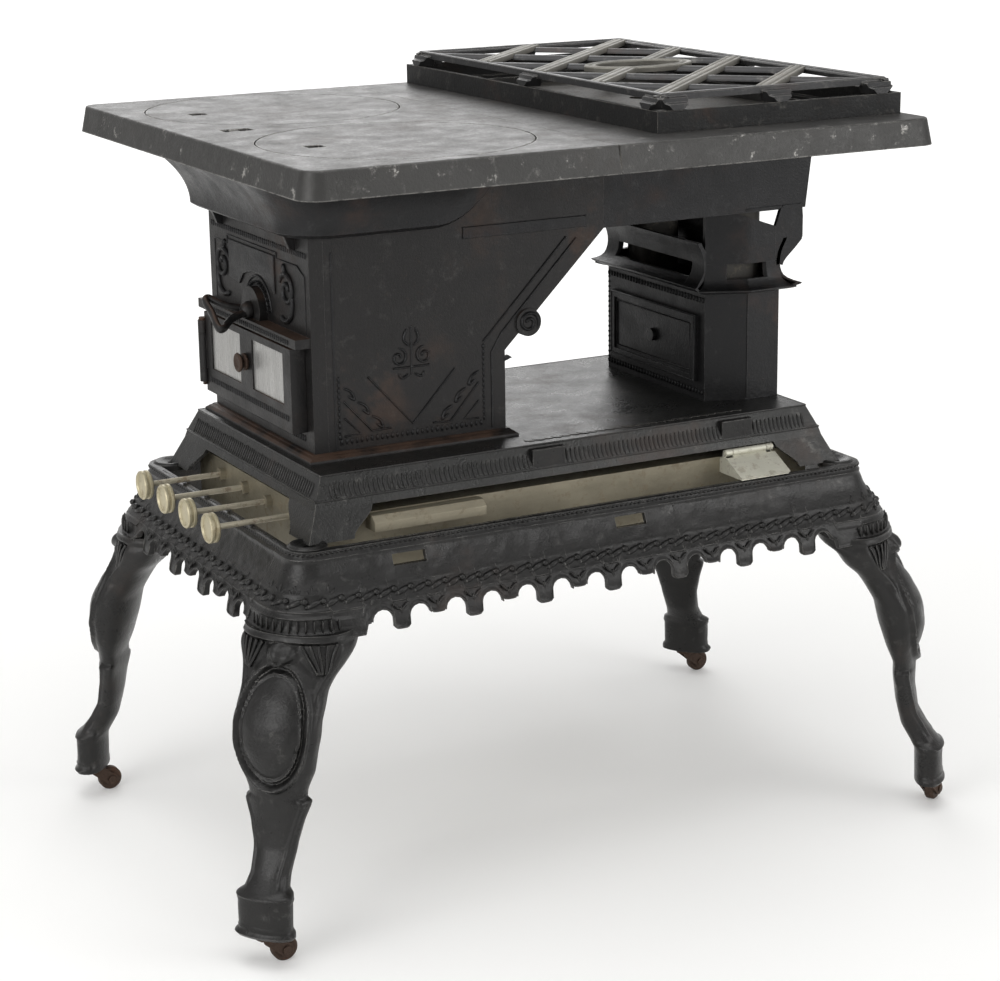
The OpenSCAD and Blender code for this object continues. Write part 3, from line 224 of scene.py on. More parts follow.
def make_iron_group():
    """Sand-cast iron: grain, mottling, rubbed edges, and rust in patches."""
    tree, t, i, o = group("cast_iron_skin", [
        ("Place", "v", None), ("Edge", "f", 0.0), ("Colour", "c", (0.05, 0.05, 0.05, 1)),
        ("Worn Colour", "c", (0.25, 0.24, 0.23, 1)), ("Rust Colour", "c", (0.12, 0.055, 0.03, 1)),
        ("Mottle", "f", 0.4), ("Wear", "f", 0.3), ("Rust", "f", 0.2), ("Grain", "f", 1.0),
        ("Gloss", "f", 0.45), ("Settled", "f", 0.0)],
        [("Colour", "c"), ("Roughness", "f"), ("Metallic", "f"), ("Height", "f")])
    place = i["Place"]
    broad = t.noise(place, 9.0, 5.0, 0.6)
    patch = t.noise(place, 38.0, 6.0, 0.62)
    fine = t.noise(place, 420.0, 3.0, 0.6)
    sand = t.noise(place, 1300.0, 2.0, 0.5)
    shade = t.math("ADD", t.math("MULTIPLY", broad, 0.9), t.math("MULTIPLY", patch, 0.7))
    shade = t.math("SUBTRACT", shade, 0.8)
    shade = t.math("MULTIPLY_ADD", shade, i["Mottle"])
    shade.node.inputs[2].default_value = 1.0
    value = t.add("HueSaturation", Value=shade, Color=i["Colour"])
    colour = value.outputs["Color"]
    # rubbed metal at edges and in scuffs
    scuff = t.ramp(t.noise(place, 70.0, 8.0, 0.72), 0.55, 0.72)
    edge = t.math("MULTIPLY", i["Edge"], t.ramp(t.noise(place, 120.0, 4.0, 0.65), 0.3, 0.62))
    worn = t.math("ADD", t.math("MULTIPLY", edge, 1.5), t.math("MULTIPLY", scuff, 0.35))
    worn = t.math("MULTIPLY", worn, i["Wear"], clamp=True)
    colour = t.blend(worn, colour, i["Worn Colour"])
    # rust blooms
    bloom = t.math("MULTIPLY", t.ramp(broad, 0.5, 0.7), t.ramp(patch, 0.42, 0.62))
    speck = t.ramp(t.noise(place, 210.0, 5.0, 0.7), 0.6, 0.74)
    rust = t.math("ADD", bloom, t.math("MULTIPLY", speck, 0.5))
    rust = t.math("ADD", t.math("MULTIPLY", rust, i["Rust"]), i["Settled"], clamp=True)
    colour = t.blend(rust, colour, i["Rust Colour"])
    t.put(o["Colour"], colour)
    rough = t.math("ADD", i["Gloss"], t.math("MULTIPLY", t.math("SUBTRACT", patch, 0.5), 0.5))
    rough = t.math("ADD", rough, t.math("MULTIPLY", rust, 0.35))
    rough = t.math("ADD", rough, t.math("MULTIPLY", t.math("SUBTRACT", fine, 0.5), 0.25), clamp=True)
    t.put(o["Roughness"], rough)
    metal = t.math("MULTIPLY_ADD", rust, -0.6, clamp=True)
    metal.node.inputs[2].default_value = 0.6
    t.put(o["Metallic"], metal)
    height = t.math("ADD", t.math("MULTIPLY", fine, 0.6), t.math("MULTIPLY", sand, 0.25))
    height = t.math("ADD", height, t.math("MULTIPLY", patch, 0.9))
    t.put(o["Height"], t.math("MULTIPLY", height, i["Grain"]))
    return tree


def make_tin_group():
    """Old tinplate or paint over tin: streaks, spots and chips that show another colour."""
    tree, t, i, o = group("old_tin_skin", [
        ("Place", "v", None), ("Edge", "f", 0.0), ("Colour", "c", (0.4, 0.37, 0.28, 1)),
        ("Spot Colour", "c", (0.16, 0.12, 0.07, 1)), ("Spots", "f", 0.5), ("Streaks", "f", 0.4),
        ("Gloss", "f", 0.45)],
        [("Colour", "c"), ("Roughness", "f"), ("Metallic", "f"), ("Height", "f")])
    place = i["Place"]
    broad = t.noise(place, 14.0, 5.0, 0.6)
    streak = t.noise(t.scaled(place, (0.25, 1.0, 1.0)), 160.0, 5.0, 0.65)
    fine = t.noise(place, 520.0, 4.0, 0.65)
    shade = t.math("ADD", t.math("MULTIPLY", streak, i["Streaks"]), t.math("MULTIPLY", broad, 0.8))
    shade = t.math("ADD", shade, 0.42)
    colour = t.add("HueSaturation", Value=shade, Color=i["Colour"]).outputs["Color"]
    spots = t.ramp(t.noise(place, 95.0, 7.0, 0.72), 0.53, 0.64)
    edge = t.math("MULTIPLY", i["Edge"], t.ramp(t.noise(place, 240.0, 4.0, 0.6), 0.4, 0.6))
    spots = t.math("MULTIPLY", t.math("ADD", spots, edge), i["Spots"], clamp=True)
    colour = t.blend(spots, colour, i["Spot Colour"])
    t.put(o["Colour"], colour)
    rough = t.math("ADD", i["Gloss"], t.math("MULTIPLY", t.math("SUBTRACT", fine, 0.5), 0.4))
    t.put(o["Roughness"], t.math("ADD", rough, t.math("MULTIPLY", spots, 0.3), clamp=True))
    metal = t.math("MULTIPLY_ADD", spots, -0.5, clamp=True)
    metal.node.inputs[2].default_value = 0.55
    t.put(o["Metallic"], metal)
    t.put(o["Height"], t.math("ADD", t.math("MULTIPLY", fine, 0.5), t.math("MULTIPLY", broad, 1.5)))
    return tree


IRON = make_iron_group()
TIN = make_tin_group()


def finish(name, skin, depth=0.0006, round_off=0.0009, coat=0.0, settled=0.0, scuffed=0.0, drawn=None, **values):
    """A material with one skin group. Rust has settled on its upward faces and knocks have scuffed its sides."""
    material = bpy.data.materials.new(name)
    material.use_nodes = True
    tree = material.node_tree
    t = Tree(tree)
    shader = tree.nodes["Principled BSDF"]
    place = t.add("TexCoord").outputs["Object"]
    soft = t.add("Bevel", Radius=round_off)
    soft.samples = 4
    flat = t.add("NewGeometry").outputs["Normal"]
    dot = tree.nodes.new("ShaderNodeVectorMath")
    dot.operation = "DOT_PRODUCT"
    t.put(dot.inputs[0], soft.outputs["Normal"])
    t.put(dot.inputs[1], flat)
    edge = t.ramp(t.math("SUBTRACT", 1.0, dot.outputs["Value"]), 0.01, 0.12)
    skin_node = tree.nodes.new("ShaderNodeGroup")
    skin_node.node_tree = skin
    t.put(skin_node.inputs["Place"], t.scaled(place, drawn) if drawn else place)
    t.put(skin_node.inputs["Edge"], edge)
    for label, value in values.items():
        t.put(skin_node.inputs[label.replace("_", " ")], value)
    if settled or scuffed:
        facing = t.add("SeparateXYZ", Vector=t.add("TexCoord").outputs["Normal"]).outputs["Z"]
    if scuffed:
        chips = t.math("MULTIPLY", t.ramp(t.noise(place, 24.0, 8.0, 0.75), 0.5, 0.57),
                       t.ramp(t.noise(place, 130.0, 5.0, 0.7), 0.44, 0.54))
        sides = t.math("SUBTRACT", 1.0, t.ramp(facing, 0.55, 0.95))
        t.put(skin_node.inputs["Wear"], t.math("MULTIPLY_ADD", t.math("MULTIPLY", chips, sides), scuffed))
        skin_node.inputs["Wear"].links[0].from_node.inputs[2].default_value = values.get("Wear", 0.3)
    if settled:
        patchy = t.ramp(t.noise(place, 26.0, 5.0, 0.6), 0.3, 0.6)
        lying = t.math("MULTIPLY", t.ramp(facing, 0.35, 0.8), t.math("MULTIPLY", patchy, settled))
        t.put(skin_node.inputs["Settled"], lying)
    relief = t.add("Bump", Strength=1.0, Distance=depth)
    t.put(relief.inputs["Height"], skin_node.outputs["Height"])
    t.put(relief.inputs["Normal"], soft.outputs["Normal"])
    t.put(shader.inputs["Base Color"], skin_node.outputs["Colour"])
    t.put(shader.inputs["Roughness"], skin_node.outputs["Roughness"])
    t.put(shader.inputs["Metallic"], skin_node.outputs["Metallic"])
    t.put(shader.inputs["Normal"], relief.outputs["Normal"])
    shader.inputs["Coat Weight"].default_value = coat
    shader.inputs["Coat Roughness"].default_value = 0.35
    return material


def rgb(r, g, b):
    return (r, g, b, 1.0)


TOP_IRON = finish("worn_top_iron", IRON, depth=0.0005, round_off=0.0018, scuffed=7.0, Colour=rgb(0.056, 0.055, 0.053),
                  Worn_Colour=rgb(0.36, 0.35, 0.33), Mottle=0.8, Wear=0.7, Rust=0.1, Gloss=0.46, Grain=0.8)
GRATE_IRON = finish("grate_iron", IRON, depth=0.0004, round_off=0.0005, Colour=rgb(0.045, 0.045, 0.046),
                    Worn_Colour=rgb(0.26, 0.25, 0.23), Mottle=0.8, Wear=0.95, Rust=0.15, Gloss=0.42)
STRAP_IRON = finish("scoured_strap_iron", IRON, depth=0.0004, Colour=rgb(0.17, 0.163, 0.142),
                    Worn_Colour=rgb(0.34, 0.33, 0.29), Mottle=0.9, Wear=0.9, Rust=0.1, Gloss=0.5)
TRAY_IRON = finish("tray_iron", IRON, depth=0.0004, Colour=rgb(0.017, 0.017, 0.017),
                   Worn_Colour=rgb(0.2, 0.19, 0.17), Mottle=0.8, Wear=0.75, Rust=0.3, Gloss=0.48)
PLINTH_IRON = finish("scuffed_plinth_iron", IRON, depth=0.0005, Colour=rgb(0.032, 0.032, 0.031),
                     Worn_Colour=rgb(0.2, 0.195, 0.18), Mottle=1.3, Wear=0.9, Rust=0.15, Gloss=0.33)
BLACK_IRON = finish("black_iron", IRON, depth=0.0005, Colour=rgb(0.021, 0.021, 0.022),
                    Worn_Colour=rgb(0.11, 0.11, 0.11), Mottle=0.6, Wear=0.45, Rust=0.22, Gloss=0.42)
BASE_IRON = finish("base_iron", IRON, depth=0.0006, coat=0.2, Colour=rgb(0.02, 0.0195, 0.019),
                   Worn_Colour=rgb(0.19, 0.185, 0.175), Mottle=1.0, Wear=0.6, Rust=0.12, Gloss=0.34)
PANEL_IRON = finish("rust_dusted_iron", IRON, depth=0.0004, round_off=0.0004, settled=0.45,
                    Colour=rgb(0.024, 0.023, 0.023), Worn_Colour=rgb(0.13, 0.125, 0.12),
                    Rust_Colour=rgb(0.13, 0.066, 0.036), Mottle=0.7, Wear=0.55, Rust=0.24, Gloss=0.42)
DARK_TIN = finish("sooted_tin", TIN, depth=0.0003, Colour=rgb(0.05, 0.047, 0.042),
                  Spot_Colour=rgb(0.2, 0.17, 0.12), Spots=0.25, Gloss=0.5)
RUSTY_IRON = finish("rusty_iron", IRON, depth=0.001, Colour=rgb(0.07, 0.045, 0.033),
                    Worn_Colour=rgb(0.2, 0.13, 0.09), Rust_Colour=rgb(0.16, 0.065, 0.03),
                    Mottle=0.9, Wear=0.4, Rust=1.4, Gloss=0.6, Grain=1.5)
TANK_TIN = finish("tank_tin", TIN, depth=0.0003, Colour=rgb(0.3, 0.27, 0.2), Gloss=0.42)
PALE_TIN = finish("pale_tin", TIN, depth=0.0003, Colour=rgb(0.62, 0.61, 0.52),
                  Spot_Colour=rgb(0.25, 0.21, 0.15), Spots=0.55, Gloss=0.5)
BRASS = finish("tarnished_brass", TIN, depth=0.0003, round_off=0.0006, Colour=rgb(0.5, 0.45, 0.31),
               Spot_Colour=rgb(0.2, 0.15, 0.08), Spots=0.5, Streaks=0.3, Gloss=0.4)
ROD_STEEL = finish("speckled_rod", TIN, depth=0.0004, round_off=0.0004, Colour=rgb(0.5, 0.46, 0.36),
                   Spot_Colour=rgb(0.2, 0.15, 0.1), Spots=0.8, Gloss=0.5)
MICA = finish("cloudy_mica", TIN, depth=0.0002, round_off=0.0003, drawn=(1, 1, 0.06), Colour=rgb(0.4, 0.397, 0.385),
              Spot_Colour=rgb(0.3, 0.27, 0.24), Spots=0.12, Streaks=0.45, Gloss=0.3)
COTTON = finish("wick_cotton", TIN, depth=0.0004, round_off=0.0003, Colour=rgb(0.7, 0.66, 0.55),
                Spot_Colour=rgb(0.3, 0.25, 0.18), Spots=0.5, Gloss=0.9)

BY_SLOT = {"worn_iron": TOP_IRON, "black_iron": BLACK_IRON, "base_iron": BASE_IRON, "rusty_iron": RUSTY_IRON,
           "tin": TANK_TIN, "pale_tin": PALE_TIN, "brass": BRASS, "wick_cotton": COTTON, "mica": MICA}


def coat_cad_nodes():
    for part in frame["record"]["subparts"]:
        mesh = nodes[part["node"]].data
        mesh.materials.clear()
        mesh.materials.append(BY_SLOT[part["material_slot"]])
    own = {"wick_shaft_%d" % n: ROD_STEEL for n in range(1, 5)}
    own.update({"pot_tray": TRAY_IRON, "plinth": PLINTH_IRON, "end_panel": PANEL_IRON, "window_door": PANEL_IRON,
                "front_panel": PANEL_IRON, "chimneys": DARK_TIN})
    for name, material in own.items():
        mesh = nodes[name].data
        mesh.materials.clear()
        mesh.materials.append(material)


# ---- Mesh helpers ----

def piece(name, verts, faces, material, body="stove", slot="black_iron", sharp=32):
    """A mesh from points in millimetres, smooth but for edges sharper than the angle given."""
    mesh = bpy.data.meshes.new(name)
    mesh.from_pydata([(x * MM, y * MM, z * MM) for x, y, z in verts], [], faces)
    return settle(mesh, name, material, body, slot, sharp)


def settle(mesh, name, material, body="stove", slot="black_iron", sharp=32, weld=1e-6):
    bm = bmesh.new()
    bm.from_mesh(mesh)
    bmesh.ops.remove_doubles(bm, verts=bm.verts, dist=weld)
    bmesh.ops.dissolve_degenerate(bm, edges=bm.edges, dist=1e-7)
    bmesh.ops.recalc_face_normals(bm, faces=bm.faces)
    bm.to_mesh(mesh)
    bm.free()
    mesh.shade_smooth()
    mesh.set_sharp_from_angle(angle=math.radians(sharp))
    mesh.materials.clear()
    mesh.materials.append(material)
    thing = bpy.data.objects.new(name, mesh)
    scene.collection.objects.link(thing)
    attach(thing, body)
    return thing


def table(points, x):
    """Straight-line reading of a list of (x, value) pairs in rising x."""
    for (x0, v0), (x1, v1) in zip(points, points[1:]):
        if x <= x1:
            return mix(v0, v1, (x - x0) / (x1 - x0)) if x > x0 else v0
    return points[-1][1]


def softened(points, x, reach):
    """The same, averaged over a reach to each side so that its corners are round."""
    return sum(table(points, x + reach * k / 3) * w for k, w in
               zip(range(-3, 4), (0.06, 0.12, 0.2, 0.24, 0.2, 0.12, 0.06)))


def rings(loops, close_start=True, close_end=True, flat=False):
    """Vertices and faces of a skin over closed loops of equal length; its ends get fans, or one flat face each."""
    n = len(loops[0])
    verts = [p for loop in loops for p in loop]
    faces = []
    for k in range(len(loops) - 1):
        for i in range(n):
            j = (i + 1) % n
            faces.append((k * n + i, k * n + j, (k + 1) * n + j, (k + 1) * n + i))
    for wanted, first in ((close_start, 0), (close_end, (len(loops) - 1) * n)):
        if wanted and flat:
            faces.append(tuple(range(first, first + n)))
        elif wanted:
            loop = verts[first:first + n]
            verts.append(tuple(sum(p[a] for p in loop) / n for a in range(3)))
            centre = len(verts) - 1
            faces += [(centre, first + i, first + (i + 1) % n) for i in range(n)]
    return verts, faces


# ---- Legs ----

POST = (262.0, 154.0)
LEG_TURN = math.atan2(58, 74)
LEG_FOOT, LEG_TOP = 26.0, 269.0
LEG_OUTER = [(26, 106), (60, 105), (65, 102), (77, 92), (95, 82), (119, 78), (150, 78), (180, 80), (201, 76),
             (223, 65), (240, 54), (250, 53), (262, 51), (269, 51)]
LEG_INNER = [(26, 80), (58, 79), (80, 66), (105, 60), (130, 57), (143, 57), (158, 50), (181, 42), (203, 37),
             (215, 30), (230, 20), (240, 8), (254, 0), (262, -15), (269, -18)]
LEG_HALF = [(26, 26), (30.5, 26), (33, 23.5), (56, 23.8), (58, 25), (63, 23.4), (66, 19), (76, 17), (100, 19.5),
            (118, 24), (131, 28.5), (135, 29.5), (138, 25), (146, 27), (160, 33), (190, 38), (212, 38), (224, 37),
            (234, 40), (244, 45), (252, 48.5), (257, 49), (262, 47.5), (269, 47.5)]
# how far a leg's side edges lie behind its front
LEG_ROUND = [(26, 12), (64, 12), (80, 10), (120, 12), (134, 18), (146, 15), (200, 14), (235, 20), (250, 32), (262, 38),
             (269, 38)]
OVAL_Z, OVAL_WIDE, OVAL_TALL = 196.0, 33.5, 52.0
ROSETTE_Z, ROSETTE_R = 252.5, 12.5


def leg_relief(n, z):
    """Height of a leg's cast ornament, in millimetres, on its front."""
    out = 0.0
    oval = math.hypot(n / OVAL_WIDE, (z - OVAL_Z) / OVAL_TALL)
    # a raised oval ring, a fine inner ring and the plain dome inside them
    out += 4.4 * bump(oval - 0.965, 0.085)
    out -= 1.8 * bump(oval - 0.87, 0.05)
    out += 1.9 * bump(oval - 0.81, 0.045)
    if oval < 0.77:
        out += 6.5 * math.sqrt(1 - (oval / 0.77) ** 2) - 0.6
    # scallop above the oval
    dx, dz = n, z - ROSETTE_Z
    rose = math.hypot(dx, dz * 1.2) / ROSETTE_R
    if rose < 1:
        flutes = 0.72 + 0.28 * math.cos(6 * math.atan2(dz + 9, dx) + 1.57)
        out = max(out, 9.0 * math.sqrt(1 - rose * rose) * mix(1, flutes, min(1, 1.6 * rose)))
    elif oval > 1.06 and z > 226 and abs(n) > 13:
        # a sunk field on each wing inside a raised border
        half = softened(LEG_HALF, z, 4)
        depth = ease((oval - 1.06) / 0.05) * ease((rose - 1.02) / 0.12) * ease((263 - z) / 3)
        depth *= ease((half - 4 - abs(n)) / 3)
        out -= 1.8 * depth
    if z > 214:
        out += 1.6 * bump(abs(n) - (softened(LEG_HALF, z, 4) - 3), 2.6) * ease((z - 214) / 8) * ease((266 - z) / 4)
    out += 1.8 * bump(z - 264.5, 2.6) - 0.8 * bump(z - 260.5, 2.4)
    # cuff over the foot, and the foot's own lips
    out += 2.4 * bump(z - 61.5, 2.6) + 2.2 * bump(z - 28.6, 2.6) + 0.8 * bump(z - 34.5, 1.8)
    # raised border down the shank
    if 66 < z < 140:
        edge = abs(n) - (softened(LEG_HALF, z, 3) - 4.0)
        out += 1.8 * bump(edge, 2.6) * ease((z - 66) / 8) * ease((140 - z) / 5)
    return out + noise.noise(Vector((n, z, 3.0)) * 0.09) * 0.5


def wing_ribs():
    """Lines of the ribs that fan over a leg's wings, as (s, n, z) in the leg's own plane."""
    ribs = []
    for side in (-1, 1):
        for foot, head in ((31, 17.5), (33, 24), (35, 30.5), (37, 37), (38.5, 42.5)):
            rib = []
            for k in range(6):
                n, z = mix(foot, head, k / 5), mix(238, 261, k / 5)
                half, base = softened(LEG_HALF, z, 4), softened(LEG_OUTER, z, 4) - softened(LEG_ROUND, z, 5)
                shape = math.sqrt(max(0.02, 1 - (n / half) ** 2)) ** 0.8
                rib.append((base + softened(LEG_ROUND, z, 5) * shape - 0.6, side * n, z))
            ribs.append(rib)
    return ribs


def leg_loops():
    front, back, rows = 66, 16, 196
    loops = []
    for k in range(rows + 1):
        z = mix(LEG_FOOT, LEG_TOP, k / rows)
        reach = 1.2 if 128 < z < 140 or z < 70 else 4
        outer = softened(LEG_OUTER, z, reach)
        inner = softened(LEG_INNER, z, 4)
        half = softened(LEG_HALF, z, reach)
        side = outer - softened(LEG_ROUND, z, 5)
        loop = []
        for i in range(front + 1):
            a = math.pi * (i / front - 0.5)
            u = math.sin(a)
            lift = leg_relief(u * half, z)
            shape = math.cos(a) ** 0.8
            n = u * half + lift * u * 0.5
            s = side + (outer - side) * shape + lift * (0.35 + 0.65 * shape)
            loop.append((s, n, z))
        for i in range(1, back):
            a = math.pi * (i / back - 0.5)
            loop.append((side - (side - inner) * math.cos(a) ** 0.7, -math.sin(a) * half, z))
        loops.append(loop)
    return loops


def build_legs():
    stem_s, stem_r, stem_top = 94.0, 5.05, 47.0
    loops = leg_loops()
    bore = []
    for s, n, z in loops[0]:
        a = math.atan2(n, s - stem_s)
        bore.append((stem_s + stem_r * math.cos(a), stem_r * math.sin(a)))
    lower = [(s, n, LEG_FOOT) for s, n in bore]
    upper = [(s, n, stem_top) for s, n in bore]
    verts, faces = rings([upper, lower] + loops)
    turn = (math.cos(LEG_TURN), math.sin(LEG_TURN))
    for name, sx, sy in (("front_left", -1, -1), ("front_right", 1, -1), ("back_left", -1, 1), ("back_right", 1, 1)):
        placed = [(sx * (POST[0] + s * turn[0] - n * turn[1]), sy * (POST[1] + s * turn[1] + n * turn[0]), z)
                  for s, n, z in verts]
        leg = piece("cast_leg_" + name, placed, faces, BASE_IRON, slot="base_iron", sharp=50)
        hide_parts("leg_" + name)
        strokes("wing_ribs_" + name, [[(sx * (POST[0] + s * turn[0] - n * turn[1]),
                                        sy * (POST[1] + s * turn[1] + n * turn[0]), z) for s, n, z in rib]
                                      for rib in wing_ribs()], 1.3, BASE_IRON, "base_iron")


# ---- Apron ----

APRON_TOP, APRON_LOW, ARCH_TOP = 330.0, 262.0, 279.5
SHORT_LOW, POST_LOW = 270.5, 267.0
STEP = 33.4
ARCH_R = 10.0
WALL, STUB = 5.0, 20.0
SLOTS, SLOT_LOW, SLOT_HIGH = ((-197.0, -167.0), (15.0, 45.0)), 309.0, 318.0


def bell(z):
    """Distance of the apron's outer face past the line of the post centres."""
    t = (APRON_TOP - 6 - z) / 58
    return 20 + 23 * ease(t) + 5 * min(max(t, 0), 1) ** 0.5


def lower_edge(at, arches, odd):
    """Height of a rail's lower edge at a place along it."""
    k = round(at / STEP)
    low = APRON_LOW if abs(k) % 2 == odd else SHORT_LOW
    nearest = round(at / STEP - 0.5)
    off = abs(at - (nearest + 0.5) * STEP)
    if not -arches <= nearest < arches:
        return APRON_LOW
    if off < ARCH_R:
        return ARCH_TOP - ARCH_R + math.sqrt(ARCH_R ** 2 - off ** 2)
    # pendants keep blunt tips with their corners taken off
    tip = (STEP - 2 * ARCH_R) / 2
    return low + 2.2 * max(0, abs(at - k * STEP) / tip - 0.72) / 0.28


def rail_stations(arches):
    """Places along a rail where its skin gets a line of points: close at the arches' edges."""
    marks = []
    for k in range(-arches, arches):
        middle = (k + 0.5) * STEP
        marks += [middle + ARCH_R * math.sin(math.radians(a)) for a in (-90, -80, -66, -46, -23, 0, 23, 46, 66, 80, 90)]
        marks += [middle - ARCH_R - 0.12, middle + ARCH_R + 0.12]
        marks += [k * STEP + d for d in (-5.2, -2.4, 0, 2.4, 5.2)]
    marks += [arches * STEP + d for d in (-5.2, -2.4, 0)]
    return sorted(set(round(m, 3) for m in marks))


def apron_relief(z, low, corner):
    """Cast ornament of the apron: its upper bead, the ledge under the rope and a border round the pendants."""
    out = 1.0 * bump(z - 322.5, 2.2) + 0.7 * bump(z - 297.5, 1.2)
    out += 1.5 * bump(z - 285.4, 1.5)
    if corner:
        return out + 1.4 * bump(z - 281, 1.6) - 1.6 * bump(z - 274.5, 6) + 2.4 * bump(z - POST_LOW - 1, 2.2)
    return out - 0.5 * bump(z - 277, 6) + 1.2 * bump(z - low - 1.4, 1.7) * (1 if z < 285 else 0)


def apron_strip(stations, top=APRON_TOP, bottom=0.0):
    """Loops of points round the apron's wall, one at each station (x, y, out x, out y, low, corner)."""
    loops = []
    for x, y, nx, ny, low, corner in stations:
        outer, inner = [], []
        high = min(APRON_TOP - 6, top)
        foot = max(low, bottom)
        rows = max(4, round((high - max(APRON_LOW, bottom)) / 1.35))
        for j in range(rows + 1):
            z = mix(high, foot, j / rows)
            out = bell(z) + apron_relief(z, low, corner)
            lump = noise.noise(Vector((x, y, z)) * 0.045) * 0.9 + noise.noise(Vector((x, y, z)) * 0.16) * 0.45
            out += lump * (1 if 296 < z < 320 else 0.3)
            outer.append((x + nx * out, y + ny * out, z))
            inner.append((x + nx * (bell(z) - WALL), y + ny * (bell(z) - WALL), z))
        rim = [(14, -5), (14, 0), (19, 0), (20.4, -0.6), (20.6, -2.2), (19.4, -3.6)]
        loop = [(x + nx * out, y + ny * out, APRON_TOP + rise) for out, rise in rim] if top == APRON_TOP else []
        loops.append(loop + outer + inner[::-1])
    return loops


def along_rail(sy, low, high):
    """Stations of a long rail between two places along it."""
    arches = 7
    marks = [low] + [m for m in rail_stations(arches) if low < m < high] + [high]
    return [(m, sy * POST[1], 0, sy, lower_edge(m, arches, 0), False) for m in marks]


def corner_stations(sx, sy):
    """Quarter turn round a post, from facing X to facing Y, after a stub along the short side."""
    turns = 30
    found = [(sx * POST[0], sy * (POST[1] - STUB), sx, 0, POST_LOW, True)]
    for i in range(turns + 1):
        a = math.pi / 2 * i / turns
        found.append((sx * POST[0], sy * POST[1], sx * math.cos(a), sy * math.sin(a), POST_LOW, True))
    return found


def post_ring(x, y):
    """Ring boss on top of a corner post."""
    profile = [(4, 325), (4, 329), (7, 330.2), (9.5, 330.6), (12, 332), (14.5, 332), (16.5, 330.2), (16.8, 325)]
    steps = 40
    loops = [[(x + r * math.cos(2 * math.pi * i / steps), y + r * math.sin(2 * math.pi * i / steps), z)
              for i in range(steps)] for r, z in profile]
    verts, faces = rings(loops, False, False)
    k = (len(loops) - 1) * steps
    return verts, faces + [(k + i, k + (i + 1) % steps, (i + 1) % steps, i) for i in range(steps)]


def build_aprons():
    ends = 262.0
    for name, sy in (("front", -1), ("back", 1)):
        left = corner_stations(-1, sy) + along_rail(sy, -ends + 2, SLOTS[0][0])
        right = along_rail(sy, SLOTS[1][1], ends - 2) + corner_stations(1, sy)[::-1]
        parts = [rings(apron_strip(run), flat=True) for run in
                 (left, along_rail(sy, SLOTS[0][1], SLOTS[1][0]), right)]
        for low, high in SLOTS:
            run = along_rail(sy, low - 0.01, high + 0.01)
            parts.append(rings(apron_strip(run, bottom=SLOT_HIGH), flat=True))
            parts.append(rings(apron_strip(run, top=SLOT_LOW), flat=True))
        parts += [post_ring(sx * POST[0], sy * POST[1]) for sx in (-1, 1)]
        rail = piece("cast_apron_" + name, *join_parts(parts), BASE_IRON, slot="base_iron", sharp=40)
        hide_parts("apron_" + name)
    for name, sx in (("left", -1), ("right", 1)):
        reach = POST[1] - STUB + 0.01
        marks = [-reach] + [m for m in rail_stations(4) if abs(m) < reach] + [reach]
        stations = [(sx * POST[0], m, sx, 0, lower_edge(m, 4, 1), False) for m in marks]
        wall = rings(apron_strip(stations), flat=True)
        rail = piece("cast_apron_" + name, *wall, BASE_IRON, slot="base_iron", sharp=40)
        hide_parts("apron_" + name)


# ---- Repeated ornament ----

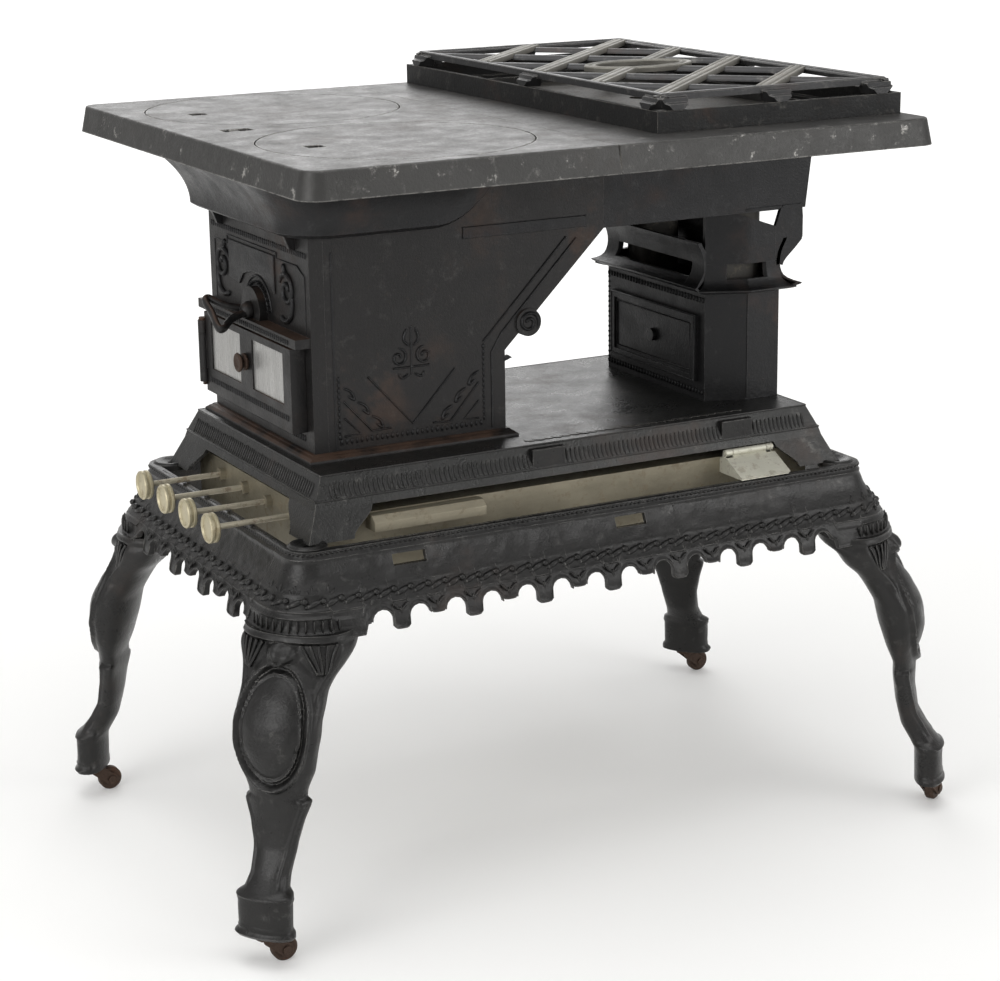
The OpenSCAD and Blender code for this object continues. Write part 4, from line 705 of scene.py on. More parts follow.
def make_row_tree():
    """Sets a template along lines at an even spacing, facing away from them across the given up."""
    tree = bpy.data.node_groups.new("ornament_row", "GeometryNodeTree")
    for name, kind in (("Geometry", "Geometry"), ("Template", "Object"), ("Spacing", "Float"), ("Up", "Vector"),
                       ("Uneven", "Float"), ("Seed", "Int"), ("Material", "Material")):
        tree.interface.new_socket(name, in_out="INPUT", socket_type="NodeSocket" + kind)
    tree.interface.new_socket("Geometry", in_out="OUTPUT", socket_type="NodeSocketGeometry")
    add, join = tree.nodes.new, tree.links.new
    given, done = add("NodeGroupInput"), add("NodeGroupOutput")
    line, even = add("GeometryNodeMeshToCurve"), add("GeometryNodeResampleCurve")
    even.mode = "LENGTH"
    tangent, outward = add("GeometryNodeInputTangent"), add("ShaderNodeVectorMath")
    turn = add("FunctionNodeAxesToRotation")
    outward.operation = "CROSS_PRODUCT"
    turn.primary_axis, turn.secondary_axis = "Z", "X"
    template, copies = add("GeometryNodeObjectInfo"), add("GeometryNodeInstanceOnPoints")
    size = add("FunctionNodeRandomValue")
    low, high = add("ShaderNodeMath"), add("ShaderNodeMath")
    low.operation, high.operation = "SUBTRACT", "ADD"
    low.inputs[0].default_value = high.inputs[0].default_value = 1
    real, paint = add("GeometryNodeRealizeInstances"), add("GeometryNodeSetMaterial")
    join(given.outputs["Geometry"], line.inputs["Mesh"])
    join(line.outputs["Curve"], even.inputs["Curve"])
    join(given.outputs["Spacing"], even.inputs["Length"])
    join(even.outputs["Curve"], copies.inputs["Points"])
    join(tangent.outputs["Tangent"], outward.inputs[0])
    join(given.outputs["Up"], outward.inputs[1])
    join(outward.outputs["Vector"], turn.inputs["Primary Axis"])
    join(tangent.outputs["Tangent"], turn.inputs["Secondary Axis"])
    join(turn.outputs["Rotation"], copies.inputs["Rotation"])
    join(given.outputs["Template"], template.inputs["Object"])
    join(template.outputs["Geometry"], copies.inputs["Instance"])
    join(given.outputs["Uneven"], low.inputs[1])
    join(given.outputs["Uneven"], high.inputs[1])
    join(given.outputs["Seed"], size.inputs["Seed"])
    join(low.outputs[0], next(s for s in size.inputs if s.name == "Min" and s.type == "VALUE"))
    join(high.outputs[0], next(s for s in size.inputs if s.name == "Max" and s.type == "VALUE"))
    join(next(s for s in size.outputs if s.type == "VALUE"), copies.inputs["Scale"])
    join(copies.outputs["Instances"], real.inputs["Geometry"])
    join(real.outputs["Geometry"], paint.inputs["Geometry"])
    join(given.outputs["Material"], paint.inputs["Material"])
    join(paint.outputs["Geometry"], done.inputs["Geometry"])
    return tree


ROW = make_row_tree()


def stud(long, wide, lift, lean=0.0, tilt=0.0, around=8, levels=(0.0, 0.5, 0.82), sunk=0.6):
    """Template: a half-oval lump, turned by lean in its own plane and tipped by tilt to suit a slope."""
    loops = []
    for level in (-sunk / lift,) + levels:
        r = math.sqrt(1 - max(level, 0) ** 2)
        loop = []
        for i in range(around):
            a = 2 * math.pi * i / around
            x, y = long / 2 * r * math.cos(a), wide / 2 * r * math.sin(a)
            x, y = x * math.cos(lean) - y * math.sin(lean), x * math.sin(lean) + y * math.cos(lean)
            z = level * lift
            loop.append((x, y * math.cos(tilt) - z * math.sin(tilt), y * math.sin(tilt) + z * math.cos(tilt)))
        loops.append(loop)
    verts, faces = rings(loops)
    verts[-1] = (0, -lift * math.sin(tilt), lift * math.cos(tilt))
    mesh = bpy.data.meshes.new("stud")
    mesh.from_pydata([(x * MM, y * MM, z * MM) for x, y, z in verts], [], faces)
    return bpy.data.objects.new("stud", mesh)


def cluster(lumps, tilt=0.0):
    """Template of several lumps given as (along, up, long, wide, lift, lean)."""
    parts = []
    for along, up, long, wide, lift, lean in lumps:
        lump = stud(long, wide, lift, lean, tilt, levels=(0.0, 0.6)).data
        shift = (along, up * math.cos(tilt), up * math.sin(tilt))
        parts.append(([tuple(v.co[a] / MM + shift[a] for a in range(3)) for v in lump.vertices],
                      [tuple(face.vertices) for face in lump.polygons]))
    verts, faces = join_parts(parts)
    mesh = bpy.data.meshes.new("cluster")
    mesh.from_pydata([(x * MM, y * MM, z * MM) for x, y, z in verts], [], faces)
    return bpy.data.objects.new("cluster", mesh)


def row(name, lines, template, spacing, up=(0, 0, 1), uneven=0.06, seed=1, material=None, slot="black_iron",
        body="stove"):
    material = material or BLACK_IRON
    verts, edges = [], []
    for points in lines:
        first = len(verts)
        verts += [(x * MM, y * MM, z * MM) for x, y, z in points]
        edges += [(first + i, first + i + 1) for i in range(len(points) - 1)]
    mesh = bpy.data.meshes.new(name + "_line")
    mesh.from_pydata(verts, edges, [])
    carrier = bpy.data.objects.new(name + "_line", mesh)
    scene.collection.objects.link(carrier)
    scene.collection.objects.link(template)
    maker = carrier.modifiers.new("row", "NODES")
    maker.node_group = ROW
    keys = {item.name: item.identifier for item in ROW.interface.items_tree if item.in_out == "INPUT"}
    maker[keys["Template"]] = template
    maker[keys["Spacing"]] = spacing * MM
    maker[keys["Up"]] = up
    maker[keys["Uneven"]] = uneven
    maker[keys["Seed"]] = seed
    maker[keys["Material"]] = material
    made = bpy.data.meshes.new_from_object(carrier.evaluated_get(bpy.context.evaluated_depsgraph_get()))
    carrier.modifiers.remove(maker)
    bpy.data.objects.remove(carrier)
    bpy.data.objects.remove(template)
    return settle(made, name, material, body, slot, sharp=50, weld=1e-7)


# ---- Raised lines ----

def curved(points, steps=6):
    """A smooth line through the points given."""
    out = []
    ext = [points[0]] + list(points) + [points[-1]]
    for p0, p1, p2, p3 in zip(ext, ext[1:], ext[2:], ext[3:]):
        for k in range(steps):
            t = k / steps
            out.append(tuple(0.5 * (2 * b + (c - a) * t + (2 * a - 5 * b + 4 * c - d) * t * t
                                    + (3 * b - a - 3 * c + d) * t ** 3) for a, b, c, d in zip(p0, p1, p2, p3)))
    return out + [tuple(points[-1])]


def scroll(u, v, wide, start, turns, hand=1, steps=30):
    """A spiral in a face's own plane that tightens from its width to a fifth of it."""
    return [(u + wide * mix(1, 0.2, i / steps) * math.cos(start + hand * turns * 2 * math.pi * i / steps),
             v + wide * mix(1, 0.2, i / steps) * math.sin(start + hand * turns * 2 * math.pi * i / steps))
            for i in range(steps + 1)]


def strokes(name, lines, radius, material=None, slot="black_iron", body="stove"):
    """Round-backed ridges along lines in millimetres, half sunk in the face that carries them."""
    curve = bpy.data.curves.new(name, "CURVE")
    curve.dimensions = "3D"
    curve.bevel_depth = radius * MM
    curve.bevel_resolution = 1
    curve.use_fill_caps = True
    for line in lines:
        spline = curve.splines.new("POLY")
        spline.points.add(len(line) - 1)
        for i, p in enumerate(line):
            spline.points[i].co = (p[0] * MM, p[1] * MM, p[2] * MM, 1)
            ends = min(i, len(line) - 1 - i)
            spline.points[i].radius = 1 if len(line) < 8 else (0.45, 0.75)[ends] if ends < 2 else 1
    carrier = bpy.data.objects.new(name, curve)
    scene.collection.objects.link(carrier)
    made = bpy.data.meshes.new_from_object(carrier.evaluated_get(bpy.context.evaluated_depsgraph_get()))
    bpy.data.objects.remove(carrier)
    return settle(made, name, material or BLACK_IRON, body, slot, sharp=60)


def on_front(line, out=0.0):
    return [(u, HOUSE_FRONT - out, v) for u, v in line]


def on_end(line, out=0.0):
    return [(HOUSE_END - out, u, v) for u, v in line]


def slab(outline, axis, low, high):
    """A flat plate between two levels along an axis (0 for X, 1 for Y, 2 for Z) with the outline given."""
    def place(u, v, w):
        return [(w, u, v), (u, w, v), (u, v, w)][axis]
    n = len(outline)
    soft = min(0.5, abs(high - low) / 3) * (1 if high > low else -1)
    cu, cv = sum(p[0] for p in outline) / n, sum(p[1] for p in outline) / n
    inner = [(u - 0.5 * (1 if u > cu else -1), v - 0.5 * (1 if v > cv else -1)) for u, v in outline]
    loops = [[place(u, v, low) for u, v in outline], [place(u, v, high - soft) for u, v in outline],
             [place(u, v, high) for u, v in inner]]
    verts = [p for loop in loops for p in loop]
    faces = [tuple(range(n)), tuple(range(2 * n, 3 * n))]
    faces += [(k * n + i, k * n + (i + 1) % n, (k + 1) * n + (i + 1) % n, (k + 1) * n + i)
              for k in range(2) for i in range(n)]
    return verts, faces


def join_parts(parts):
    verts, faces = [], []
    for more, added in parts:
        base = len(verts)
        verts += more
        faces += [tuple(base + i for i in face) for face in added]
    return verts, faces


# ---- Housing ----

HOUSE_FRONT, HOUSE_END, FOOT_OUT = -93.0, -226.0, 8.0
DOOR_FACE, LEDGE_FACE = -240.0, -240.0
LEVER = (16.0, 493.0)


def build_front_ornament():
    middle, foot = -134.5, 403.0
    lines = [[(-175.4, 447.8), (middle, foot), (-93.6, 446)],
             [(-198, 429), (-172.8, 401.5), (-155, 401.5)], [(-198, 415), (-183, 400), (-198, 399.5)],
             [(-71, 415), (-86, 400), (-71, 399.5)], [(-71, 431), (-99, 400), (-115, 401)],
             [(middle, 445), (middle, 487)], [(middle - 17, 452), (middle + 17, 452)],
             [(-58, 389), (-58, 456), (-48, 472)], [(-48, 472), (26, 547)], [(-66, 466), (16, 549)],
             [(-206, 389), (-206, 556)]]
    leaves = []
    for side in (-1, 1):
        for reach in (0, 1, 2):
            u, v = middle + side * (64 - 13 * reach), 441 - 13.5 * reach
            leaves.append(curved([(u, v), (u - side * 7, v - 4), (u - side * 10, v - 11), (u - side * 4, v - 7)]))
        leaves.append(scroll(middle + side * 12, 461, 8, math.pi / 2, 1.3, side))
        leaves.append(curved([(middle + side * 2, 470), (middle + side * 7, 476), (middle + side * 4, 485)]))
        leaves.append(curved([(middle + side * 3, 446), (middle + side * 9, 443), (middle + side * 12, 447)]))
    strokes("front_relief", [on_front(line, 0.1) for line in lines], 1.0)
    strokes("front_scrolls", [on_front(line, 0.2) for line in leaves], 1.2)
    bead = stud(2.6, 5.5, 1.3)
    across = stud(5.0, 2.6, 1.3)
    row("front_beads", [on_front([(-201, 395), (-69, 395)])], bead, 4.7, seed=3)
    row("front_side_beads", [on_front([(-202.5, 399), (-202.5, 449)]), on_front([(-66, 399), (-66, 462)])],
        across, 4.7, up=(-1, 0, 0), seed=4)
    # lap of the top's own wall on the panel, and the boss of the rolled edge with its spur
    cx, cz = -22.0, 478.0
    lap = slab([(-84, 556), (36, 556), (36, 566), (-84, 566)], 1, HOUSE_FRONT, HOUSE_FRONT - 1.2)
    spur = slab([(-46, 450), (-41, 451), (-38, 449), (-42, 447), (-46, 446)], 1, HOUSE_FRONT + 4, HOUSE_FRONT)
    piece("front_lap", *join_parts([lap, spur]), BLACK_IRON)
    coil = scroll(cx, cz, 10, -0.6, 1.6, 1, 44)
    strokes("front_coil", [[(u, HOUSE_FRONT - 2.0, v) for u, v in coil]], 1.6)


def build_top_joint():
    """Dark line of the joint between the two halves of the cooking top."""
    x, half, rim_low, top = -26.0, 0.45, 627.6, 649.0
    sunk = 6
    line = [(-257.9, rim_low, 0.12, 0), (-254.5, 648.0, 0.12, 0), (-253.5, top, 0, 0.06), (253.5, top, 0, 0.06),
            (254.5, 648.0, -0.12, 0), (257.9, rim_low, -0.12, 0)]
    loops = [[(x - half, y + sunk * out, z - sunk * up), (x + half, y + sunk * out, z - sunk * up),
              (x + half, y - out, z + up), (x - half, y - out, z + up)] for y, z, out, up in line]
    piece("top_joint", *rings(loops), TRAY_IRON, sharp=40)


def build_foot_moulding():
    """Moulding on which the housing stands, with rust lying in it."""
    section = [(FOOT_OUT + 0.4, 380.9), (FOOT_OUT + 0.4, 382.6), (FOOT_OUT - 0.2, 383.4),
               (FOOT_OUT * 0.65 + 1.2, 384.2), (FOOT_OUT * 0.65 + 0.5, 384.9),
               (FOOT_OUT * 0.65 - 0.2, 385.4), (FOOT_OUT * 0.3 + 1.1, 386.2),
               (FOOT_OUT * 0.3 + 0.4, 386.9), (FOOT_OUT * 0.3 - 0.3, 387.4), (-0.5, 387.6), (-0.5, 380.9)]
    x0, x1, y0, y1 = HOUSE_END, -45.0, HOUSE_FRONT, 125.0
    loops = [[(x + ox * out, y + oy * out, z) for out, z in section]
             for x, y, ox, oy in ((x0, y0, -1, -1), (x1, y0, 1, -1), (x1, y1, 1, 1), (x0, y1, -1, 1), (x0, y0, -1, -1))]
    piece("foot_moulding", *rings(loops, False, False), PANEL_IRON, sharp=40)


def build_end_ornament():
    hub_y, hub_z = LEVER
    lines = []
    for side, u, v in ((1, 94, 521), (-1, -47, 519)):
        lines.append(scroll(u, v, 15.5, math.pi * (0.9 if side > 0 else 0.1), 1.45, -side))
        lines.append(curved([(u + side * 12, v - 5), (u + side * 9, v - 20), (u - side * 3, v - 27),
                             (u - side * 14, v - 24)]))
        lines.append(curved([(u - side * 6, v + 22), (u - side * 2, v + 15), (u + side * 5, v + 12)]))
    strokes("end_scrolls", [on_end(line, 0.4) for line in lines], 2.5)
    edge = [(-84, 488), (-84, 536), (-70, 543), (-26, 543), (-26, 548), (82, 548), (82, 541), (112, 541), (112, 488)]
    strokes("end_border", [on_end(edge, 0.0)], 1.1)
    plate = slab([(-22, 512), (-22, 545), (78, 545), (78, 512), (56, 509), (46, 519), (28, 524.5), (4, 524.5),
                  (-12, 519)], 0, HOUSE_END + 1, HOUSE_END - 1.6)
    piece("blank_plaque", *plate, BLACK_IRON)
    arch = [(hub_y + 24 * math.cos(a), hub_z + 24 * math.sin(a)) for a in
            (math.pi * (0.02 + 0.96 * i / 24) for i in range(25))]
    row("hub_rays", [on_end(arch, 0)], stud(2.2, 6.5, 1.4), 4.4, up=(-1, 0, 0), seed=8)
    strokes("hub_arch", [on_end([(hub_y + r * math.cos(a), hub_z + r * math.sin(a)) for a in
                                 (math.pi * (0.02 + 0.96 * i / 24) for i in range(25))], 0.2) for r in (28.5, 20.5)],
            1.2)
    bead = stud(2.5, 5.2, 1.2)
    row("end_beads", [[(HOUSE_END, 118, 554), (HOUSE_END, -86, 554)]], bead, 4.4, seed=5)
    row("end_foot_beads", [[(HOUSE_END, 104, 397.5), (HOUSE_END, -74, 397.5)]], stud(2.5, 6, 1.2), 4.4, seed=6)
    low = stud(2.4, 5.5, 1.1)
    row("door_low_beads", [[(DOOR_FACE, 102, 416), (DOOR_FACE, -72, 416)]], low, 4.2, seed=7, body="door")
    row("ledge_beads", [[(LEDGE_FACE, 108, 481.5), (LEDGE_FACE, -76, 481.5)]], stud(2.3, 4.6, 1.1), 4.4, seed=9)


# ---- Lever and door knob ----

def sweep(path, sections, closed=False):
    """A bar along points, with a section radius pair (across the loop, along its plane's normal) at each point."""
    count = len(path)
    loops = []
    for k, (point, (wide, thick)) in enumerate(zip(path, sections)):
        before = Vector(path[(k - 1) % count] if closed else path[max(k - 1, 0)])
        after = Vector(path[(k + 1) % count] if closed else path[min(k + 1, count - 1)])
        along = (after - before).normalized()
        normal = Vector((0, -math.sin(LEVER_TILT), math.cos(LEVER_TILT)))
        across = along.cross(normal).normalized()
        loops.append([tuple(Vector(point) + across * wide * math.cos(a) + normal * thick * math.sin(a))
                      for a in (2 * math.pi * i / 14 for i in range(14))])
    if closed:
        loops.append(loops[0])
    return rings(loops, not closed, not closed)


LEVER_TILT = math.radians(34)


def turned(profile, y, z, steps=28):
    """A lathe-turned shape about a line along X, from (x, radius) pairs."""
    return rings([[(x, y + r * math.cos(2 * math.pi * i / steps), z + r * math.sin(2 * math.pi * i / steps))
                   for i in range(steps)] for x, r in profile])


def build_lever():
    hub_y, hub_z = LEVER
    half = curved([(-239, 3.4), (-246, 4.6), (-254, 8.2), (-260.5, 13.5), (-265.5, 18.6), (-269.2, 18.2), (-270, 12),
                   (-269.4, 5), (-269.2, 0)], 5)
    shape = half + [(x, -t) for x, t in reversed(half[:-1])]
    path = [(x, hub_y + t * math.cos(LEVER_TILT), hub_z + t * math.sin(LEVER_TILT)) for x, t in shape]
    sections = []
    for x, t in shape:
        grip = ease((-x - 262) / 5)
        sections.append((mix(3.3, 2.8, grip), mix(3.4, 4.2, grip)))
    spindle = turned([(-243.9, 1), (-243.5, 3.4), (-242, 5.6), (-239, 7.2), (-236, 7.9), (-234.4, 7.6), (-234.4, 4),
                      (-220.7, 4), (-220.7, 6.4), (-218, 6.4), (-217.7, 5.8)], hub_y, hub_z)
    lever = piece("cast_lever", *join_parts([sweep(path, sections), spindle]), PANEL_IRON, body="lever", sharp=40)
    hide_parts("lever_handle")


def build_knob():
    y, z = 16.0, 448.0
    grip = turned([(-248, 1), (-248.2, 4), (-249, 6.2), (-248.7, 7.8), (-247.4, 8.6), (-246, 7.6), (-245.4, 3.4),
                   (-244.2, 3.4), (-243.6, 6.4), (-242.4, 7.7), (-240.6, 7.4), (-240.4, 3), (-220.7, 3), (-220.7, 4),
                   (-217.8, 4)], y, z)
    tongue = slab([(12, 444), (50, 444.6), (51, 446), (51, 450), (50, 451.4), (12, 452)], 0, -217.7, -220.7)
    knob = piece("cast_knob", *join_parts([grip, tongue]), RUSTY_IRON, body="knob", slot="rusty_iron", sharp=50)
    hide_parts("turn_knob")


# ---- Apron ornament ----

def round_path(wide, deep, radius, z, turns=10):
    """A closed line round the frame at a distance past the post centres, seen from above anticlockwise."""
    points = []
    for k, (sx, sy) in enumerate(((1, -1), (1, 1), (-1, 1), (-1, -1))):
        for i in range(turns + 1):
            a = math.radians(-90 + 90 * k + 90 * i / turns)
            points.append((sx * wide + radius * math.cos(a), sy * deep + radius * math.sin(a), z))
    return points + points[:1]


def build_apron_ornament():
    z = 291.4
    curl = cluster([(-2.6, -0.3, 15.5, 5.4, 3.0, 0.42), (5.6, 1.9, 6.0, 6.0, 3.2, 0), (-8.2, -2.4, 5.6, 4.4, 2.4, 0.3)],
                   tilt=-0.2)
    row("apron_rope", [round_path(*POST, bell(z) - 0.2, z)], curl, 15.6, material=BASE_IRON, slot="base_iron", seed=11)
    row("apron_edge_beads", [round_path(*POST, 20.3, 327.2)], stud(3.4, 2.6, 1.3), 4.4, material=BASE_IRON,
        slot="base_iron", seed=17)
    flutes, leaves = [], []
    for k, (sx, sy) in enumerate(((1, -1), (1, 1), (-1, 1), (-1, -1))):
        arc = [math.radians(-90 + 90 * k - 6 + 102 * i / 14) for i in range(15)]

        def bent(out, height):
            return [(sx * POST[0] + out * math.cos(a), sy * POST[1] + out * math.sin(a), height) for a in arc]
        flutes.append(bent(47.4, 274.6))
        leaves.append(bent(bell(300), 299))
    row("post_flutes", flutes, stud(2.2, 11, 1.5), 6.6, material=BASE_IRON, slot="base_iron", seed=13)
    frond = cluster([(0, 1.6, 9, 3.0, 2.2, 1.57), (-3.2, -0.6, 7.5, 2.8, 1.9, 2.2), (3.2, -0.6, 7.5, 2.8, 1.9, 0.94)],
                    tilt=-0.45)
    row("post_leaves", leaves, frond, 13.5, material=BASE_IRON, slot="base_iron", seed=14)
    edge = APRON_TOP - 0.2
    for name, line, up in (("front", [(-236, -170.5, edge), (236, -170.5, edge)], (0, -1, 0)),
                           ("back", [(236, 170.5, edge), (-236, 170.5, edge)], (0, 1, 0)),
                           ("right", [(278.5, -130, edge), (278.5, 130, edge)], (1, 0, 0)),
                           ("left", [(-278.5, 130, edge), (-278.5, -130, edge)], (-1, 0, 0))):
        row("apron_chain_" + name, [line], stud(5.6, 3.0, 1.4, lean=0.5), 4.6, up=up, material=BASE_IRON,
            slot="base_iron", seed=15)
    # spread leaves over each pendant
    spray = cluster([(0, -3.5, 9, 2.6, 1.5, 1.57), (-4.0, 1.0, 9.5, 2.8, 1.7, 2.35), (4.0, 1.0, 9.5, 2.8, 1.7, 0.79)])
    lines = [[(-200.4 * sy, -sy * (POST[1] + bell(278)), 279.3), (200.6 * sy, -sy * (POST[1] + bell(278)), 279.3)]
             for sy in (1, -1)]
    lines += [[(sx * (POST[0] + bell(278)), -100.2 * sx, 279.3), (sx * (POST[0] + bell(278)), 100.4 * sx, 279.3)]
              for sx in (1, -1)]
    row("pendant_leaves", lines, spray, STEP, material=BASE_IRON, slot="base_iron", seed=16)


# ---- Plinth ornament ----

def build_plinth_ornament():
    reed = stud(2.7, 13.5, 1.5, tilt=-math.atan2(9, 20))
    z, out = 368.2, 5.7
    x, y = 240 + out, 135 + out
    tabs = [(-46, -14), (146, 178)]
    spans, at = [], -x + 12
    for low, high in tabs:
        spans.append([(at, -y, z), (low - 3, -y, z)])
        at = high + 3
    spans.append([(at, -y, z), (x - 12, -y, z)])
    spans += [[(x, -y + 12, z), (x, y - 12, z)], [(x - 12, y, z), (-x + 12, y, z)], [(-x, y - 12, z), (-x, -y + 12, z)]]
    row("plinth_reeds", spans, reed, 4.3, material=BASE_IRON, slot="base_iron", seed=21)
    parts = []
    for low, high in tabs:
        parts.append(slab([(low, 362), (high, 362), (high, 378), (low, 378)], 1, -y + 4, -y - 2.5))
    piece("plinth_tabs", *join_parts(parts), BASE_IRON, slot="base_iron")
    ridges = []
    for level, past in ((380.4, 0.3), (361.4, 9.0)):
        px, py = 240 + past, 135 + past
        ridges.append([(-px, -py, level), (px, -py, level), (px, py, level), (-px, py, level), (-px, -py, level)])
    strokes("plinth_ridges", ridges, 1.0, material=BASE_IRON, slot="base_iron")
    vine = [[(-38, -123, 381), (174, -123, 381)]]
    row("plinth_vine", vine, stud(10, 4.5, 1.5, lean=0.45, around=10), 8.8, up=(0, -1, 0), uneven=0.2,
        material=PLINTH_IRON, slot="base_iron", seed=22)


# ---- Side burner ----

def build_box_ornament():
    x = 168.0
    row("box_top_beads", [[(x, 90, 474), (x, -76, 474)]], stud(2.6, 5.6, 1.7), 5.0, seed=31)
    row("box_foot_beads", [[(x, 90, 388.5), (x, -76, 388.5)]], stud(2.6, 5.6, 1.7), 5.0, seed=32)
    row("box_side_beads", [[(x, 90.5, 392), (x, 90.5, 470)]], stud(2.4, 2.6, 1.2), 4.6, up=(0, 1, 0), seed=33)
    mid_y, mid_z, half_y, half_z = 6.5, 428.5, 74, 31
    loops = []
    for inset, out in ((1.0, 3.6), (9.5, 2.2)):
        u, v = half_y - inset, half_z - inset
        loops.append([(x - out, mid_y + a, mid_z + b) for a, b in ((-u, -v), (u, -v), (u, v), (-u, v), (-u, -v))])
    strokes("box_frames", loops, 1.0)
    strokes("box_seam", [[(204, -94.2, 383), (204, -94.2, 479)]], 0.8)


COLLAR_LEFT, COLLAR_RIGHT, COLLAR_MID, COLLAR_HALF = 168.0, 238.0, 6.5, 100.5
CUT_X, CUT_Y = 35.0, 15.0
# distance past the side box and height: open troughs at the sides, a low lip under the plates
TROUGH = [(0, 480), (5, 481.6), (10, 483.8), (14.4, 486.4), (15, 487.6), (11, 488.8), (7.6, 490.8),
          (4.8, 493.4), (2.6, 496.6), (1.2, 500.4), (0.6, 504.5), (0.8, 508.8), (1.6, 513), (3, 517),
          (4.9, 521), (7.2, 525), (8, 527)]
LIP = [(0, 480), (4, 480.8), (9, 482.2), (11.4, 483.2), (11.4, 484.4), (7.4, 485.8), (4.6, 487.6), (2.4, 490.2),
       (1.1, 493.5), (0.4, 498), (0, 503), (0, 507)]


def stretch(profile, k, t0, t1, low, high):
    """A length of the collar's side k between two heights, closed all round."""
    hy, wall = COLLAR_HALF, 4.0
    corners = [((COLLAR_LEFT, hy - CUT_Y), (-1, 0.5)), ((COLLAR_LEFT, CUT_Y - hy), (-1, -0.5)),
               ((COLLAR_LEFT + CUT_X, -hy), (-0.2, -1)), ((COLLAR_RIGHT, -hy), (1, -1)),
               ((COLLAR_RIGHT, hy), (1, 1)), ((COLLAR_LEFT + CUT_X, hy), (-0.2, 1))]
    (x0, y0), (ox0, oy0) = corners[k % 6]
    (x1, y1), (ox1, oy1) = corners[(k + 1) % 6]

    def spot(t, out, z):
        square = 1 - ease((z - 487) / 6) if k in (0, 3) else 1
        return (mix(x0 + ox0 * out, x1 + ox1 * out, t),
                COLLAR_MID + mix(y0 + oy0 * out * square, y1 + oy1 * out * square, t), z)

    kept = [p for p in profile if low - 0.01 <= p[1] <= high + 0.01]
    kept = [(table([(z, out) for out, z in profile], low), low)] * (kept[0][1] > low + 0.01) + kept
    kept += [(table([(z, out) for out, z in profile], high), high)] * (kept[-1][1] < high - 0.01)
    section = kept + [(out - wall, z) for out, z in reversed(kept)]
    steps = max(2, int(abs(t1 - t0) * 10))
    return rings([[spot(mix(t0, t1, i / steps), out, z) for out, z in section] for i in range(steps + 1)], flat=True)


def plate(xs, low, high, mirror):
    """A run of the upright plates between two heights given as tables over x."""
    loops = []
    for x in xs:
        face = -94.0 if x >= 203 else -79.0 - (x - 168) * 15 / 35
        z0, z1 = table(low, x), table(high, x)
        loop = [(x, face, z0), (x, face, z1), (x, face + 4.0, z1), (x, face + 4.0, z0)]
        loops.append([(x, 13 - y, z) if mirror else (x, y, z) for x, y, z in loop])
    return rings(loops, flat=True)


def build_collar():
    parts = []
    parts += [stretch(TROUGH, 0, 0, 0.12, 480, 527), stretch(TROUGH, 0, 0.88, 1, 480, 527),
              stretch(TROUGH, 0, 0.12, 0.88, 480, 493.4), stretch(TROUGH, 0, 0.12, 0.88, 507, 527),
              stretch(TROUGH, 3, 0, 1, 480, 527)]
    for k, (a, b) in ((1, (0.51, 1)), (2, (0, 0.6)), (4, (0.4, 1)), (5, (0, 0.49))):
        for t0, t1 in ((0, a), (b, 1)):
            if t1 > t0:
                parts.append(stretch(LIP, k, t0, t1, 480, 507))
        parts.append(stretch(LIP, k, a, b, 480, 493.5))
    for mirror in (False, True):
        xs = [168, 172, 178, 184, 189.6, 196, 203, 210, 218, 226, 233.6]
        parts.append(plate(xs, [(168, 507), (240, 507)],
                           [(168, 556), (186, 556), (189.6, 554.2), (233.6, 538.5)], mirror))
        xs = [233.6, 236, 239, 241.5, 243, 246, 250, 255, 259, 262, 263]
        parts.append(plate(xs, [(233, 507), (238, 505), (241.5, 502), (243, 505.5), (246, 509),
                                (255, 517), (262, 524), (263, 527)],
                           [(233.6, 538.5), (239, 554.2), (240, 556.5), (262, 556.5), (263, 545)], mirror))
        parts.append(plate([186, 200, 203, 220, 240], [(180, 554.3), (250, 554.3)],
                           [(180, 556.5), (250, 556.5)], mirror))
    collar = piece("cast_collar", *join_parts(parts), BLACK_IRON, sharp=35)
    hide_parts("side_collar")


# ---- Flare below the cooking top ----

def build_flare():
    """The cove between the housing and the cooking top, which dies away along the front and the back."""
    corner_r, neck, spread = 21.0, 22.0, 58.0
    cx, half = -205.0, 88.0
    section = [(14, 570), (17, 571)] + [(neck + (spread - neck) * (i / 14) ** 2, 574 + (626 - 574) * i / 14)
                                        for i in range(15)] + [(spread + 0.6, 632), (spread + 1, 640)]
    wall = 4.0
    inner = [(max(out - wall, 2), z) for out, z in reversed(section)]
    stations = []
    for i in range(17):
        x = mix(-20, -118, i / 16)
        stations.append((x, 16 - half, 0, -1, 1 - ease((x + 118) / 98)))
    stations += [(mix(-118, cx, i / 6), 16 - half, 0, -1, 1) for i in range(1, 6)]
    stations += [(cx, 16 - half, math.cos(a), math.sin(a), 1) for a in
                 (math.radians(-90 - 90 * i / 16) for i in range(17))]
    mirrored = [(x, 32 - y, nx, -ny, s) for x, y, nx, ny, s in reversed(stations)]
    loops = []
    for x, y, nx, ny, share in stations + mirrored:
        loop = []
        for out, z in section + inner:
            reach = corner_r + mix(-2.0, out, share) if out > 0 else corner_r + out
            rise = mix(636, z, max(share, 0.001) ** 0.5)
            loop.append((x + nx * reach, y + ny * reach, min(rise, 640)))
        loops.append(loop)
    hood = piece("cast_flare", *rings(loops, flat=True), BLACK_IRON, sharp=40)
    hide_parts("flare_hood")
    tabs = []
    for y in (92, -66):
        tabs.append(slab([(-226, 556), (-231, 557), (-236, 570), (-243, 580), (-226, 580)], 1, y, y + 5))
    piece("flare_tabs", *join_parts(tabs), BLACK_IRON)


# ---- Grate ----

GRATE = (42.0, 268.0, -205.0, 237.0)
GRATE_TOP, TRAY_TOP = 680.0, 667.0


